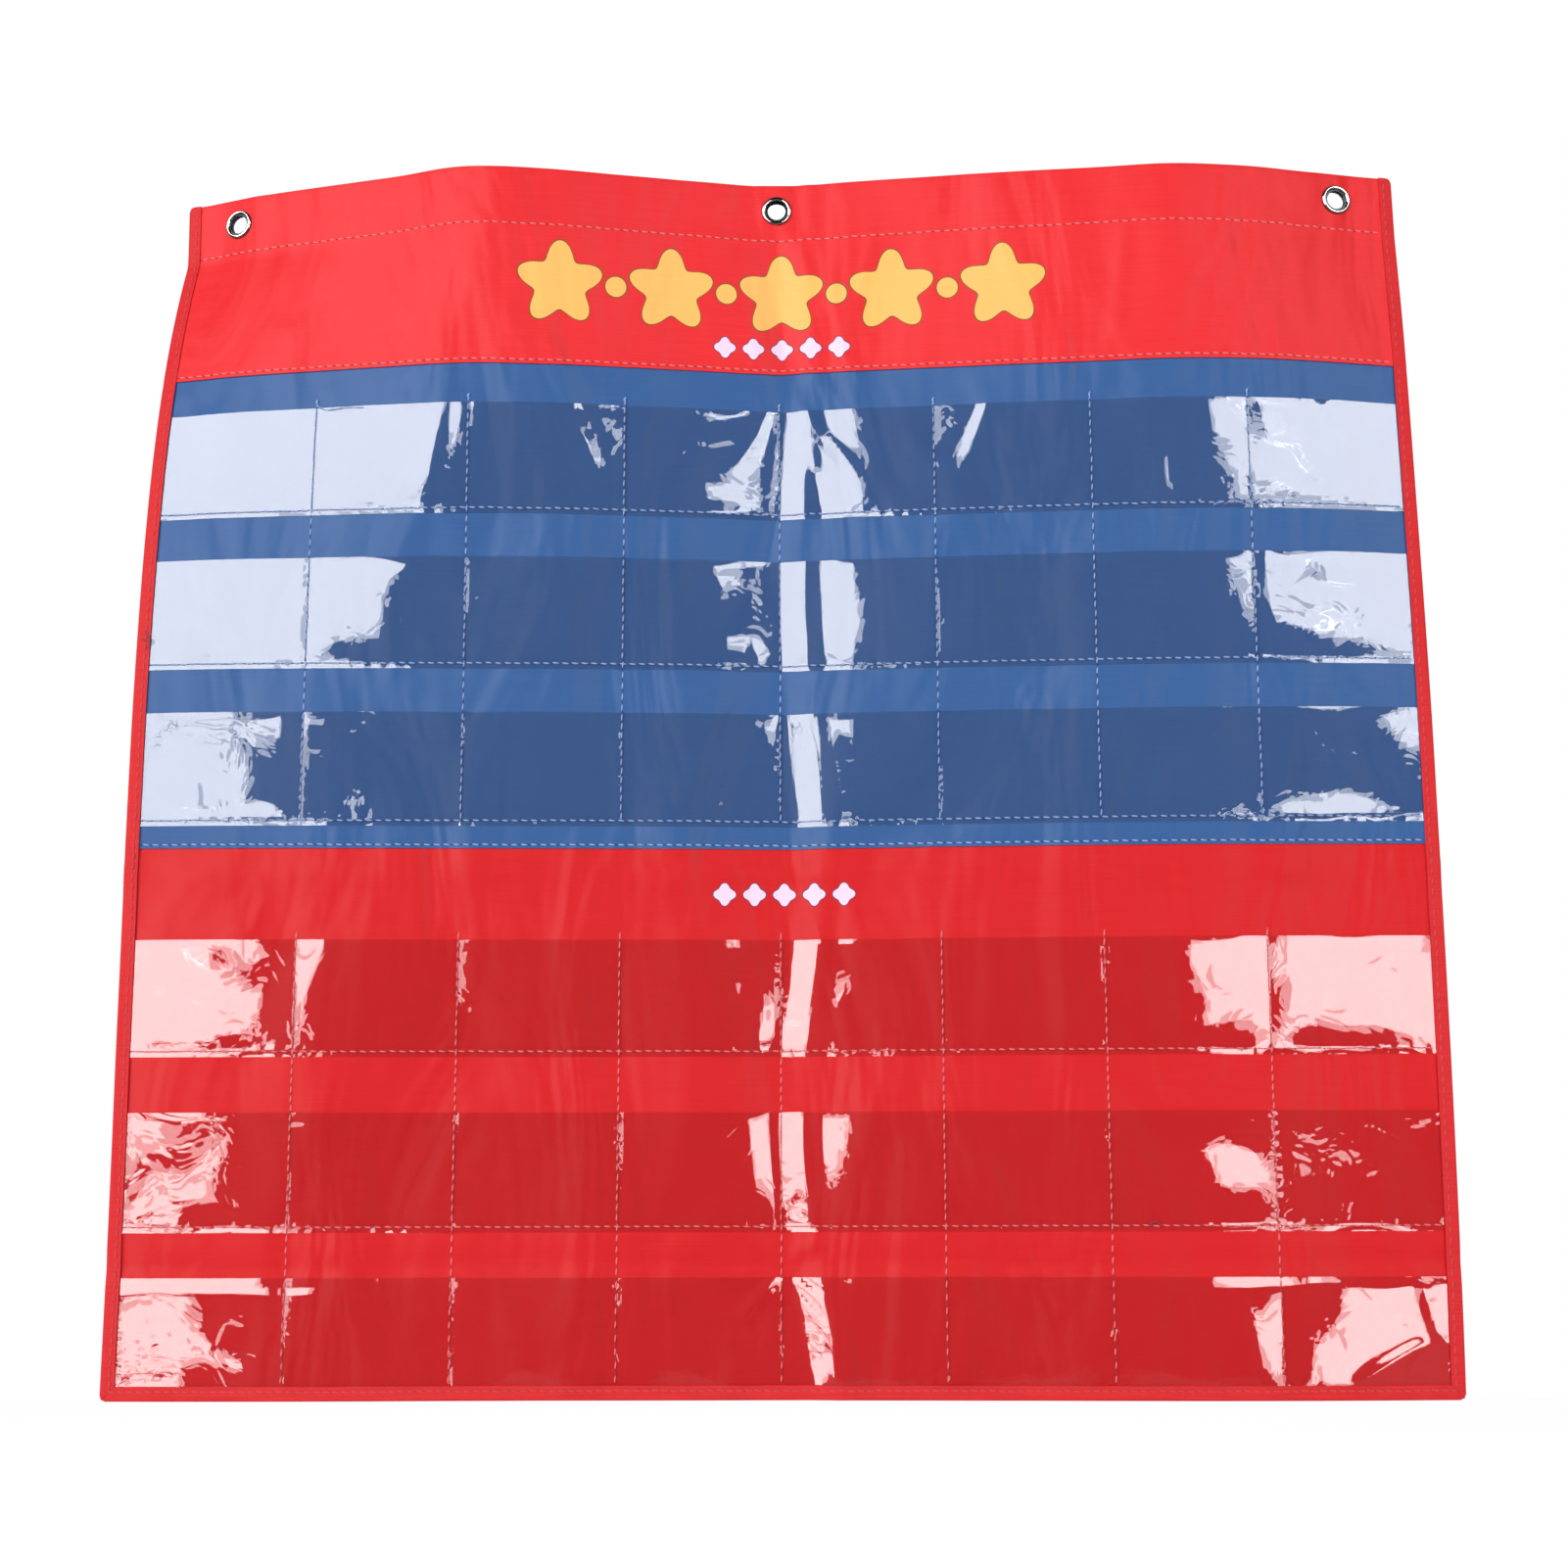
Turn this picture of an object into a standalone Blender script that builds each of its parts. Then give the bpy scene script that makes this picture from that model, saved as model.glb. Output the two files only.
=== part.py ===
# Hanging pocket chart: three nylon panels, six clear vinyl pocket strips, a folded binding
# on three sides, and three two-part metal eyelets in the top hem.
#
# The chart is laid out flat as it is cut and sewn: u runs across from the left edge, v runs
# down from the top fold, and w is the height of a layer towards the front. The function hung
# then hangs every piece on the same folds. Units are metres, with +Z up and the front facing
# -Y. The origin is the middle of the centre eyelet, on the back of the header cloth.

import math

import bmesh
import bpy
from mathutils import Matrix, Vector

# Driving sizes of the sewn chart
chart_width = 0.700
column_count = 8
header_height = 0.112
pocket_height = 0.059
blue_row_gaps = (0.022, 0.027, 0.027)  # above each of its pocket rows, the first from the header
blue_foot = 0.015  # blue cloth below the last stitch
red_row_gaps = (0.049, 0.032, 0.026)
red_foot = 0.003

# Cloth, vinyl and the seams that join them
cloth_thickness = 0.0004
vinyl_thickness = 0.0003
layer_gap = 0.0003  # left between pieces that are sewn together
binding_width = 0.0075
seam_lap = 0.010  # each panel is tucked this far behind the one above
hem_return = 0.036  # depth of the header's folded-back top hem
stitch_margin = 0.003  # vinyl below a row's stitching
binding_step = 0.004  # length in which the binding drops off the blue panel
pocket_bulge = 0.0016  # how far a pocket's mouth stands off the cloth
mitre_gap = 0.0003

# Eyelets and their washers
eyelet_inset = 0.034  # from the side edge
eyelet_drop = 0.0155  # from the top fold
eyelet_bore = 0.0100
eyelet_wall = 0.00035
flange_diameter = 0.0170
flange_height = 0.0013
rolled_lip = 0.0011  # how far the barrel's end is rolled outwards
lip_height = 0.0006
eyelet_gap = 0.0003  # clearance round the barrel, and between lip, washer and cloth
washer_diameter = 0.0168
washer_plate = 0.00045
washer_crown = 0.0010  # height of the washer's flat crown over its plate
crown_width = 0.0009
washer_chamfer = 0.0005
flange_curve_shares = (  # inwards from the rim, and up from the seat
    (0.0, 0.30),
    (0.16, 0.75),
    (0.42, 1.0),
    (0.70, 0.85),
)
flange_throat_share = 0.20  # height at which the flange turns into the bore
lip_inner_share = 0.35  # of the rolled lip's width, before its flat
lip_outer_share = 0.25  # after its flat
lip_edge_share = 0.40  # of its height
pad_margin = 0.0020  # flat cloth kept round each flange
eyelet_facets = 24

# How the chart hangs. The shares are of wave_depth, forward positive, at even steps across.
wave_depth = 0.020
top_fold_shares = (
    -1.50, -0.72, -0.08, 0.53, 1.20, 1.05, 0.60, 0.18, -0.18,
    0.12, 0.42, 0.72, 0.97, 1.25, 1.07, 0.57, 0.13,
)
upper_fold_shares = (
    0.00, 0.17, 0.28, 0.35, 0.33, 0.26, 0.12, -0.06, -0.28,
    -0.04, 0.16, 0.34, 0.52, 0.65, 0.66, 0.54, 0.33,
)
lower_fold_shares = (
    0.10, 0.16, 0.17, 0.09, 0.00, -0.04, -0.08, -0.10, -0.26,
    -0.04, 0.14, 0.28, 0.40, 0.46, 0.43, 0.42, 0.50,
)
bottom_fold_shares = (
    0.00, 0.07, 0.09, 0.03, -0.07, -0.13, -0.12, -0.12, -0.18,
    -0.06, 0.06, 0.18, 0.30, 0.38, 0.38, 0.30, 0.18,
)
upper_level_share = 0.34  # of the way from the hem's stitching to the bottom edge
lower_level_share = 0.67
folds_per_column = 3
least_fold = 0.006  # fold lines closer than this to an eyelet's flat are left out

cut_overrun = 0.004  # how far a hole's cutter passes the cloth

# Places worked out from the sizes
column_width = (chart_width - 2 * binding_width) / column_count
seam_lines = [binding_width + i * column_width for i in range(column_count + 1)]


def row_tops(start, gaps):
    """Heights of the pocket mouths under the line start."""
    tops = []
    line = start
    for gap in gaps:
        tops.append(line + gap)
        line += gap + pocket_height
    return tops


blue_tops = row_tops(header_height, blue_row_gaps)
blue_bottom = blue_tops[-1] + pocket_height + blue_foot
red_tops = row_tops(blue_bottom, red_row_gaps)
chart_height = red_tops[-1] + pocket_height + red_foot

# The four heights at which the hanging folds are given
fold_levels = (
    (0.0, top_fold_shares),
    (upper_level_share, upper_fold_shares),
    (lower_level_share, lower_fold_shares),
    (1.0, bottom_fold_shares),
)

# Layer heights, from the back
lap_lift = cloth_thickness + layer_gap  # a panel's rise to lie over the next one
vinyl_back = cloth_thickness + layer_gap
binding_inner_front = vinyl_back + vinyl_thickness + layer_gap
header_binding_front = cloth_thickness + layer_gap
binding_inner_back = -layer_gap
hem_binding_back = -(layer_gap + cloth_thickness + layer_gap)
fold_inset = cloth_thickness + layer_gap  # cut edges stop this far inside the binding's fold

# Eyelet places and the flat square of cloth that each one sits on
eyelet_lines = (eyelet_inset, chart_width / 2, chart_width - eyelet_inset)
pad_half = flange_diameter / 2 + pad_margin


def fold_lines():
    """Lines across the chart at which the hanging cloth changes direction."""
    pads = [line + side * pad_half for line in eyelet_lines for side in (-1, 1)]
    evenly = [
        seam + k * column_width / folds_per_column
        for seam in seam_lines[:-1]
        for k in range(folds_per_column)
    ]
    evenly.append(seam_lines[-1])
    free = [
        line
        for line in evenly
        if all(abs(line - spot) > pad_half + least_fold for spot in eyelet_lines)
    ]
    return sorted([0.0, chart_width] + pads + free)


folds = fold_lines()


def smooth_share(shares, across):
    """Reads a table of shares at across, 0 to 1, on a smooth curve through its values."""
    last = len(shares) - 1
    spot = min(max(across, 0.0), 1.0) * last
    k = min(int(spot), last - 1)
    t = spot - k
    before = shares[max(k - 1, 0)]
    after = shares[min(k + 2, last)]
    rise = (shares[k + 1] - before) / 2
    leave = (after - shares[k]) / 2
    drop = shares[k + 1] - shares[k]
    return shares[k] + t * rise + t * t * (3 * drop - 2 * rise - leave) + t * t * t * (
        rise + leave - 2 * drop
    )


def fold_depth(line, fade):
    """Forward depth at a fold line, where fade runs from 0 at the hem to 1 at the bottom."""
    across = line / chart_width
    depth = 0.0
    for level, shares in fold_levels:
        weight = 1.0
        for other, _ in fold_levels:
            if other != level:
                weight *= (fade - other) / (level - other)
        depth += weight * smooth_share(shares, across)
    return wave_depth * depth


def fade_at(v):
    return min(max((v - hem_return) / (chart_height - hem_return), 0.0), 1.0)


def folded_profile(v):
    """Places (across, forward) of all fold lines at the height v, with the cloth's width kept."""
    fade = fade_at(v)
    depths = [fold_depth(line, fade) for line in folds]
    across = [0.0]
    for k in range(1, len(folds)):
        width = folds[k] - folds[k - 1]
        rise = depths[k] - depths[k - 1]
        across.append(across[-1] + math.sqrt(width * width - rise * rise))
    return list(zip(across, depths))


def read_profile(profile, u):
    """The place at u on a folded profile, between its two fold lines."""
    k = 0
    while k < len(folds) - 2 and u > folds[k + 1]:
        k += 1
    share = (u - folds[k]) / (folds[k + 1] - folds[k])
    low, high = profile[k], profile[k + 1]
    return (
        low[0] + share * (high[0] - low[0]),
        low[1] + share * (high[1] - low[1]),
    )


def sewing_lines():
    """Heights of the seams, pocket mouths and feet, at which every piece bends down the chart."""
    shared = [0.0, hem_return, header_height - seam_lap, header_height, chart_height]
    shared += [blue_bottom - seam_lap, blue_bottom, blue_bottom + binding_step]
    for mouth in blue_tops + red_tops:
        shared += [mouth, min(mouth + pocket_height + stitch_margin, chart_height)]
    return sorted(set(shared))


bends = sewing_lines()
bend_profiles = [folded_profile(v) for v in bends]
hung_depth = read_profile(bend_profiles[0], eyelet_lines[1])[1]


def hung(u, v, w):
    """Where the flat point u, v at layer height w lies when the chart hangs."""
    k = 0
    while k < len(bends) - 2 and v > bends[k + 1]:
        k += 1
    share = (v - bends[k]) / (bends[k + 1] - bends[k])
    ends = []
    for profile in bend_profiles[k : k + 2]:
        x, forward = read_profile(profile, u)
        ends.append((x - read_profile(profile, eyelet_lines[1])[0], forward))
    (x0, forward0), (x1, forward1) = ends
    x = x0 + share * (x1 - x0)
    forward = forward0 + share * (forward1 - forward0)
    return Vector((x, hung_depth - forward - w, eyelet_drop - v))


# Materials, with colours in linear values


def make_material(name, colour, roughness, metallic=0.0, alpha=1.0):
    material = bpy.data.materials.new(name)
    material.use_nodes = True
    shader = material.node_tree.nodes["Principled BSDF"]
    shader.inputs["Base Color"].default_value = (*colour, 1.0)
    shader.inputs["Roughness"].default_value = roughness
    shader.inputs["Metallic"].default_value = metallic
    shader.inputs["Alpha"].default_value = alpha
    material.diffuse_color = (*colour, alpha)
    return material


def make_materials():
    return {
        "red": make_material("red_nylon", (0.80, 0.040, 0.045), 0.55),
        "blue": make_material("blue_nylon", (0.085, 0.20, 0.44), 0.55),
        "tape": make_material("red_tape", (0.84, 0.055, 0.060), 0.50),
        "vinyl": make_material("clear_vinyl", (0.90, 0.93, 0.96), 0.08, alpha=0.25),
        "nickel": make_material("polished_nickel", (0.72, 0.72, 0.70), 0.15, metallic=1.0),
    }


# Bodies


def finish(bm, name, material):
    """Makes an object of one closed body with its faces outwards."""
    bmesh.ops.recalc_face_normals(bm, faces=bm.faces)
    if bm.calc_volume(signed=True) < 0:
        bmesh.ops.reverse_faces(bm, faces=bm.faces)
    mesh = bpy.data.meshes.new(name)
    bm.to_mesh(mesh)
    bm.free()
    mesh.materials.append(material)
    piece = bpy.data.objects.new(name, mesh)
    bpy.context.collection.objects.link(piece)
    return piece


def layered_body(name, columns, rows, spot, material):
    """A flat grid thickened to a closed body. spot(i, j, outer) gives u, v, w of each corner."""
    bm = bmesh.new()
    bmesh.ops.create_grid(bm, x_segments=columns - 1, y_segments=rows - 1, size=1)
    inner = set(bm.verts)
    bmesh.ops.extrude_face_region(bm, geom=list(bm.faces))
    for vert in bm.verts:
        i = round((vert.co.x + 1) / 2 * (columns - 1))
        j = round((1 - vert.co.y) / 2 * (rows - 1))
        vert.co = hung(*spot(i, j, vert not in inner))
    return finish(bm, name, material)


def lines_between(low, high, extra=()):
    """Fold lines inside a stretch of the width, with its ends and any extra lines."""
    inside = [line for line in list(folds) + list(extra) if low < line < high]
    return [low] + sorted(set(inside)) + [high]


def heights_between(top, bottom):
    """Sewing lines inside a stretch of the height, with its ends."""
    return [top] + [line for line in bends if top < line < bottom] + [bottom]


def panel_lift(v):
    """Height of the back of whichever panel lies in front at v."""
    if v <= header_height:
        top, bottom = hem_return, header_height - seam_lap
    elif v <= blue_bottom:
        top, bottom = header_height, blue_bottom - seam_lap
    else:
        return 0.0
    return lap_lift * min(max((v - top) / (bottom - top), 0.0), 1.0)


def make_header(materials):
    """The top panel, folded back along its top edge into a hem."""
    across = lines_between(fold_inset, chart_width - fold_inset)
    front = heights_between(cloth_thickness, header_height)
    front.reverse()
    path = [((v, panel_lift(v)), (v, panel_lift(v) + cloth_thickness)) for v in front]
    back = -layer_gap
    path[-1] = ((cloth_thickness, 0.0), (0.0, cloth_thickness))
    path.append(((cloth_thickness, back), (0.0, back - cloth_thickness)))
    path.append(((hem_return, back), (hem_return, back - cloth_thickness)))

    def spot(i, j, outer):
        v, w = path[j][outer]
        return across[i], v, w

    header = layered_body("header_panel", len(across), len(path), spot, materials["red"])
    for k, line in enumerate(eyelet_lines):
        cut_eyelet_hole(header, line, k)
    return header


def make_panel(name, top, bottom, lift, material):
    """A flat panel inside the bindings, whose back is lift(v) high."""
    across = lines_between(fold_inset, chart_width - fold_inset)
    down = heights_between(top, bottom)

    def spot(i, j, outer):
        return across[i], down[j], lift(down[j]) + outer * cloth_thickness

    return layered_body(name, len(across), len(down), spot, material)


def blue_lift(v):
    return 0.0 if v <= header_height else panel_lift(v)


def red_lift(v):
    return 0.0


def pocket_height_share(v, mouth):
    """1 at a pocket's mouth, falling to 0 at its stitching."""
    return max(1 - (v - mouth) / pocket_height, 0.0)


def make_strip(number, mouth, bottom, material):
    """One clear strip, sewn down at each seam line and at its foot, open at the top."""
    across = lines_between(fold_inset, chart_width - fold_inset, seam_lines)
    stitch = mouth + pocket_height
    down = sorted({mouth, mouth + pocket_height / 2, min(stitch, bottom), bottom})

    def bulge(u, v):
        column = (u - binding_width) / column_width
        if not 0 < column < column_count:
            return 0.0
        within = math.sin(math.pi * (column - math.floor(column)))
        return pocket_bulge * within * pocket_height_share(v, mouth)

    def spot(i, j, outer):
        u, v = across[i], down[j]
        back = panel_lift(v) + vinyl_back + bulge(u, v)
        return u, v, back + outer * vinyl_thickness

    name = "pocket_strip_" + str(number)
    return layered_body(name, len(across), len(down), spot, material)


def folded_tape(front, back):
    """Corners (inset, height) of the tape's fold, inside and outside, from back to front."""
    thick = cloth_thickness
    return (
        ((binding_width, back), (binding_width, back - thick)),
        ((thick, back), (0.0, back - thick)),
        ((thick, front), (0.0, front + thick)),
        ((binding_width, front), (binding_width, front + thick)),
    )


def tape_at(v, over_header):
    """The side tape's fold at the height v, over the header and its hem or over the strips."""
    back = binding_inner_back
    if not over_header:
        return folded_tape(panel_lift(v) + binding_inner_front, back)
    if v <= hem_return:
        back = hem_binding_back
    return folded_tape(panel_lift(v) + header_binding_front, back)


def make_side_binding(name, side, material):
    """Tape folded round a side edge, with its lower end cut to a mitre. side is -1 or 1."""
    over = heights_between(0.0, header_height)
    over.insert(over.index(hem_return) + 1, hem_return + binding_step)
    under = heights_between(header_height + binding_step, chart_height)
    down = [(v, tape_at(v, True)) for v in over] + [(v, tape_at(v, False)) for v in under]

    def spot(i, j, outer):
        v, section = down[j]
        inset, w = section[i][outer]
        if j == len(down) - 1:
            v = chart_height - inset - mitre_gap
        u = inset if side < 0 else chart_width - inset
        return u, v, w

    return layered_body(name, len(down[0][1]), len(down), spot, material)


def make_bottom_binding(material):
    """Tape folded round the bottom edge, mitred into the side tapes at both ends."""
    across = lines_between(0.0, chart_width)
    section = folded_tape(binding_inner_front, binding_inner_back)

    def spot(i, j, outer):
        rise, w = section[j][outer]
        u = across[i]
        if i == 0:
            u = rise + mitre_gap
        if i == len(across) - 1:
            u = chart_width - rise - mitre_gap
        return u, chart_height - rise, w

    return layered_body("bottom_binding", len(across), len(section), spot, material)


# Eyelets


def eyelet_frame(line):
    """Place and turn of an eyelet: its own -Y is square to the flat cloth under it."""
    left = hung(line - pad_half, eyelet_drop, 0.0)
    right = hung(line + pad_half, eyelet_drop, 0.0)
    along = (right - left).normalized()
    up = Vector((0.0, 0.0, 1.0))
    out = up.cross(along)
    turn = Matrix((along, out, up)).transposed().to_4x4()
    return Matrix.Translation((left + right) / 2) @ turn


def cut_eyelet_hole(header, line, number):
    """Cuts the barrel's hole through the hem."""
    bm = bmesh.new()
    radius = eyelet_bore / 2 + eyelet_wall + eyelet_gap
    bmesh.ops.create_cone(
        bm,
        cap_ends=True,
        segments=eyelet_facets,
        radius1=radius,
        radius2=radius,
        depth=2 * cut_overrun,
        matrix=Matrix.Rotation(math.pi / 2, 4, "X"),
    )
    mesh = bpy.data.meshes.new("hole_cutter")
    bm.to_mesh(mesh)
    bm.free()
    cutter = bpy.data.objects.new("hole_cutter_" + str(number), mesh)
    bpy.context.collection.objects.link(cutter)
    cutter.matrix_world = eyelet_frame(line)
    cutter.hide_render = True
    cutter.display_type = "WIRE"
    cut = header.modifiers.new("eyelet_hole_" + str(number), "BOOLEAN")
    cut.operation = "DIFFERENCE"
    cut.solver = "EXACT"
    cut.object = cutter


def turned_ring(name, outline, frame, material):
    """Turns a closed outline of (radius, height) round the eyelet's axis."""
    bm = bmesh.new()
    verts = [bm.verts.new((radius, -height, 0.0)) for radius, height in outline]
    edges = [bm.edges.new((verts[k - 1], verts[k])) for k in range(len(verts))]
    bmesh.ops.spin(
        bm,
        geom=verts + edges,
        cent=(0.0, 0.0, 0.0),
        axis=(0.0, 1.0, 0.0),
        angle=2 * math.pi,
        steps=eyelet_facets,
        use_merge=True,
    )
    ring = finish(bm, name, material)
    ring.matrix_world = frame
    ring.data.shade_smooth()
    ring.data.set_sharp_from_angle(angle=math.radians(35))
    return ring


def eyelet_outline():
    """Domed flange in front, barrel through the hem, and the lip rolled over the washer."""
    bore = eyelet_bore / 2
    barrel = bore + eyelet_wall
    rim = flange_diameter / 2
    seat = cloth_thickness + eyelet_gap
    lip = barrel + rolled_lip
    lip_front = -(layer_gap + cloth_thickness + eyelet_gap + washer_plate + eyelet_gap)
    lip_back = lip_front - lip_height
    dome = rim - barrel
    curve = [(rim - inwards * dome, seat + up * flange_height) for inwards, up in flange_curve_shares]
    return (
        (barrel, seat),
        (rim, seat),
        *curve,
        (bore, seat + flange_throat_share * flange_height),
        (bore, lip_front),
        (bore + lip_inner_share * rolled_lip, lip_back),
        (lip - lip_outer_share * rolled_lip, lip_back),
        (lip, lip_front - lip_edge_share * lip_height),
        (lip, lip_front),
        (barrel, lip_front),
    )


def washer_outline():
    """Flat plate under the lip, with a raised flat crown round it."""
    inner = eyelet_bore / 2 + eyelet_wall + eyelet_gap
    outer = washer_diameter / 2
    front = -(layer_gap + cloth_thickness + eyelet_gap)
    plate = front - washer_plate
    crown = plate - washer_crown
    return (
        (inner, front),
        (outer, front),
        (outer, crown + washer_chamfer),
        (outer - washer_chamfer, crown),
        (outer - washer_chamfer - crown_width, crown),
        (inner + rolled_lip + eyelet_gap, plate),
        (inner, plate),
    )


def make_eyelets(material):
    for place, line in zip(("left", "center", "right"), eyelet_lines):
        frame = eyelet_frame(line)
        turned_ring(place + "_eyelet", eyelet_outline(), frame, material)
        turned_ring(place + "_washer", washer_outline(), frame, material)


def main():
    for item in list(bpy.data.objects):
        bpy.data.objects.remove(item, do_unlink=True)
    materials = make_materials()
    make_header(materials)
    make_panel(
        "blue_panel", header_height - seam_lap, blue_bottom, blue_lift, materials["blue"]
    )
    make_panel(
        "red_panel",
        blue_bottom - seam_lap,
        chart_height - fold_inset,
        red_lift,
        materials["red"],
    )
    for k, mouth in enumerate(blue_tops + red_tops):
        foot = mouth + pocket_height + stitch_margin
        make_strip(k + 1, mouth, min(foot, chart_height - fold_inset), materials["vinyl"])
    make_side_binding("left_binding", -1, materials["tape"])
    make_side_binding("right_binding", 1, materials["tape"])
    make_bottom_binding(materials["tape"])
    make_eyelets(materials["nickel"])


main()
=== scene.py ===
import math
import random
from functools import partial

import bmesh
import bpy
import numpy as np
from mathutils import Matrix, Vector


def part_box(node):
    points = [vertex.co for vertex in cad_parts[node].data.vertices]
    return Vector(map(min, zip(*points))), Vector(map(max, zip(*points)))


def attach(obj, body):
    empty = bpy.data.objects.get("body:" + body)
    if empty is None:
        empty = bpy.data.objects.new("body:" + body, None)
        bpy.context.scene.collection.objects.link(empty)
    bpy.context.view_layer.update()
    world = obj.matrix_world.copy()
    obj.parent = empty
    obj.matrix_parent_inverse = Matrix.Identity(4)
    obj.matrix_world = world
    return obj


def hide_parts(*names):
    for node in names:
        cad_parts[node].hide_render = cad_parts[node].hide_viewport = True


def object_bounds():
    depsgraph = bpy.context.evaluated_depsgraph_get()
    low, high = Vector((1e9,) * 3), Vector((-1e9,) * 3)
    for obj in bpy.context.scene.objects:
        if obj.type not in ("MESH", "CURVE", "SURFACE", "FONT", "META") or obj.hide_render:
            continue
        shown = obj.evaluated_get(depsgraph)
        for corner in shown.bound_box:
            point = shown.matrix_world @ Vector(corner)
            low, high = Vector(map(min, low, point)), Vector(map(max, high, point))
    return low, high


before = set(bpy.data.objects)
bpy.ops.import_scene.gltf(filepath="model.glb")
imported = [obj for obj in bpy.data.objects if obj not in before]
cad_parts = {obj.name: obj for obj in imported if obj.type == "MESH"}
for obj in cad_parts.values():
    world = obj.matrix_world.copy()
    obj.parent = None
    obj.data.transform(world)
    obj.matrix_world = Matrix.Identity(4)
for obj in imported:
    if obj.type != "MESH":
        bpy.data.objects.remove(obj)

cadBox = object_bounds()
scene = bpy.context.scene
scene.view_settings.view_transform = "Standard"
twoPi = 2 * math.pi

# u runs across the flat chart from its left edge, v down from the top fold, w towards the front
sewing = {
    "width": 0.700, "columns": 8, "binding": 0.0075,
    "header": 0.112, "hemStitch": 0.033, "hemReturn": 0.036, "pocket": 0.059,
    "blueGaps": (0.022, 0.027, 0.027), "blueFoot": 0.015,
    "redGaps": (0.049, 0.032, 0.026), "redFoot": 0.003,
    "cloth": 0.0004, "vinyl": 0.00028, "gap": 0.0003, "inset": 0.0007,
    "lap": 0.010, "fall": 0.004, "vinylFoot": 0.003, "cornerRound": 0.0035,
    "eyeletInset": 0.034, "eyeletDrop": 0.0155, "padHalf": 0.0105, "padFade": 0.010,
    "padIn": 0.002,
}
width, binding, headerFoot, pocket = (sewing[k] for k in ("width", "binding", "header", "pocket"))
cloth, gap, hemReturn = (sewing[k] for k in ("cloth", "gap", "hemReturn"))
eyeletDrop, padHalf = sewing["eyeletDrop"], sewing["padHalf"]
column = (width - 2 * binding) / sewing["columns"]
seams = [binding + k * column for k in range(sewing["columns"] + 1)]


def rowTops(start, spaces):
    tops = []
    for space in spaces:
        tops.append(start + space)
        start += space + pocket
    return tops, start


blueTops, blueEnd = rowTops(headerFoot, sewing["blueGaps"])
blueEnd += sewing["blueFoot"]
redTops, redEnd = rowTops(blueEnd, sewing["redGaps"])
height = redEnd + sewing["redFoot"]
mouths = blueTops + redTops
seamHeights = [headerFoot, blueEnd] + [top + pocket for top in mouths]
eyeletLines = (sewing["eyeletInset"], width / 2, width - sewing["eyeletInset"])
sides = ("left", "center", "right")

# The hanging folds at four heights down the chart, as shares of their depth at even steps
# across, forward positive
hanging = {
    "depth": 0.020,
    "levels": (0.036, 0.25054, 0.45877, 0.667),
    "folds": (
        (-1.50, -0.72, -0.08, 0.53, 1.20, 1.05, 0.60, 0.18, -0.18,
         0.12, 0.42, 0.72, 0.97, 1.25, 1.07, 0.57, 0.13),
        (0.00, 0.17, 0.28, 0.35, 0.33, 0.26, 0.12, -0.06, -0.28,
         -0.04, 0.16, 0.34, 0.52, 0.65, 0.66, 0.54, 0.33),
        (0.10, 0.16, 0.17, 0.09, 0.00, -0.04, -0.08, -0.10, -0.26,
         -0.04, 0.14, 0.28, 0.40, 0.46, 0.43, 0.42, 0.50),
        (0.00, 0.07, 0.09, 0.03, -0.07, -0.13, -0.12, -0.12, -0.18,
         -0.06, 0.06, 0.18, 0.30, 0.38, 0.38, 0.30, 0.18),
    ),
    "tableSteps": (1401, 90),
    "lean": 0.0020, "leanRun": 0.10,      # the lower part hangs a little to the right
}

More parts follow.
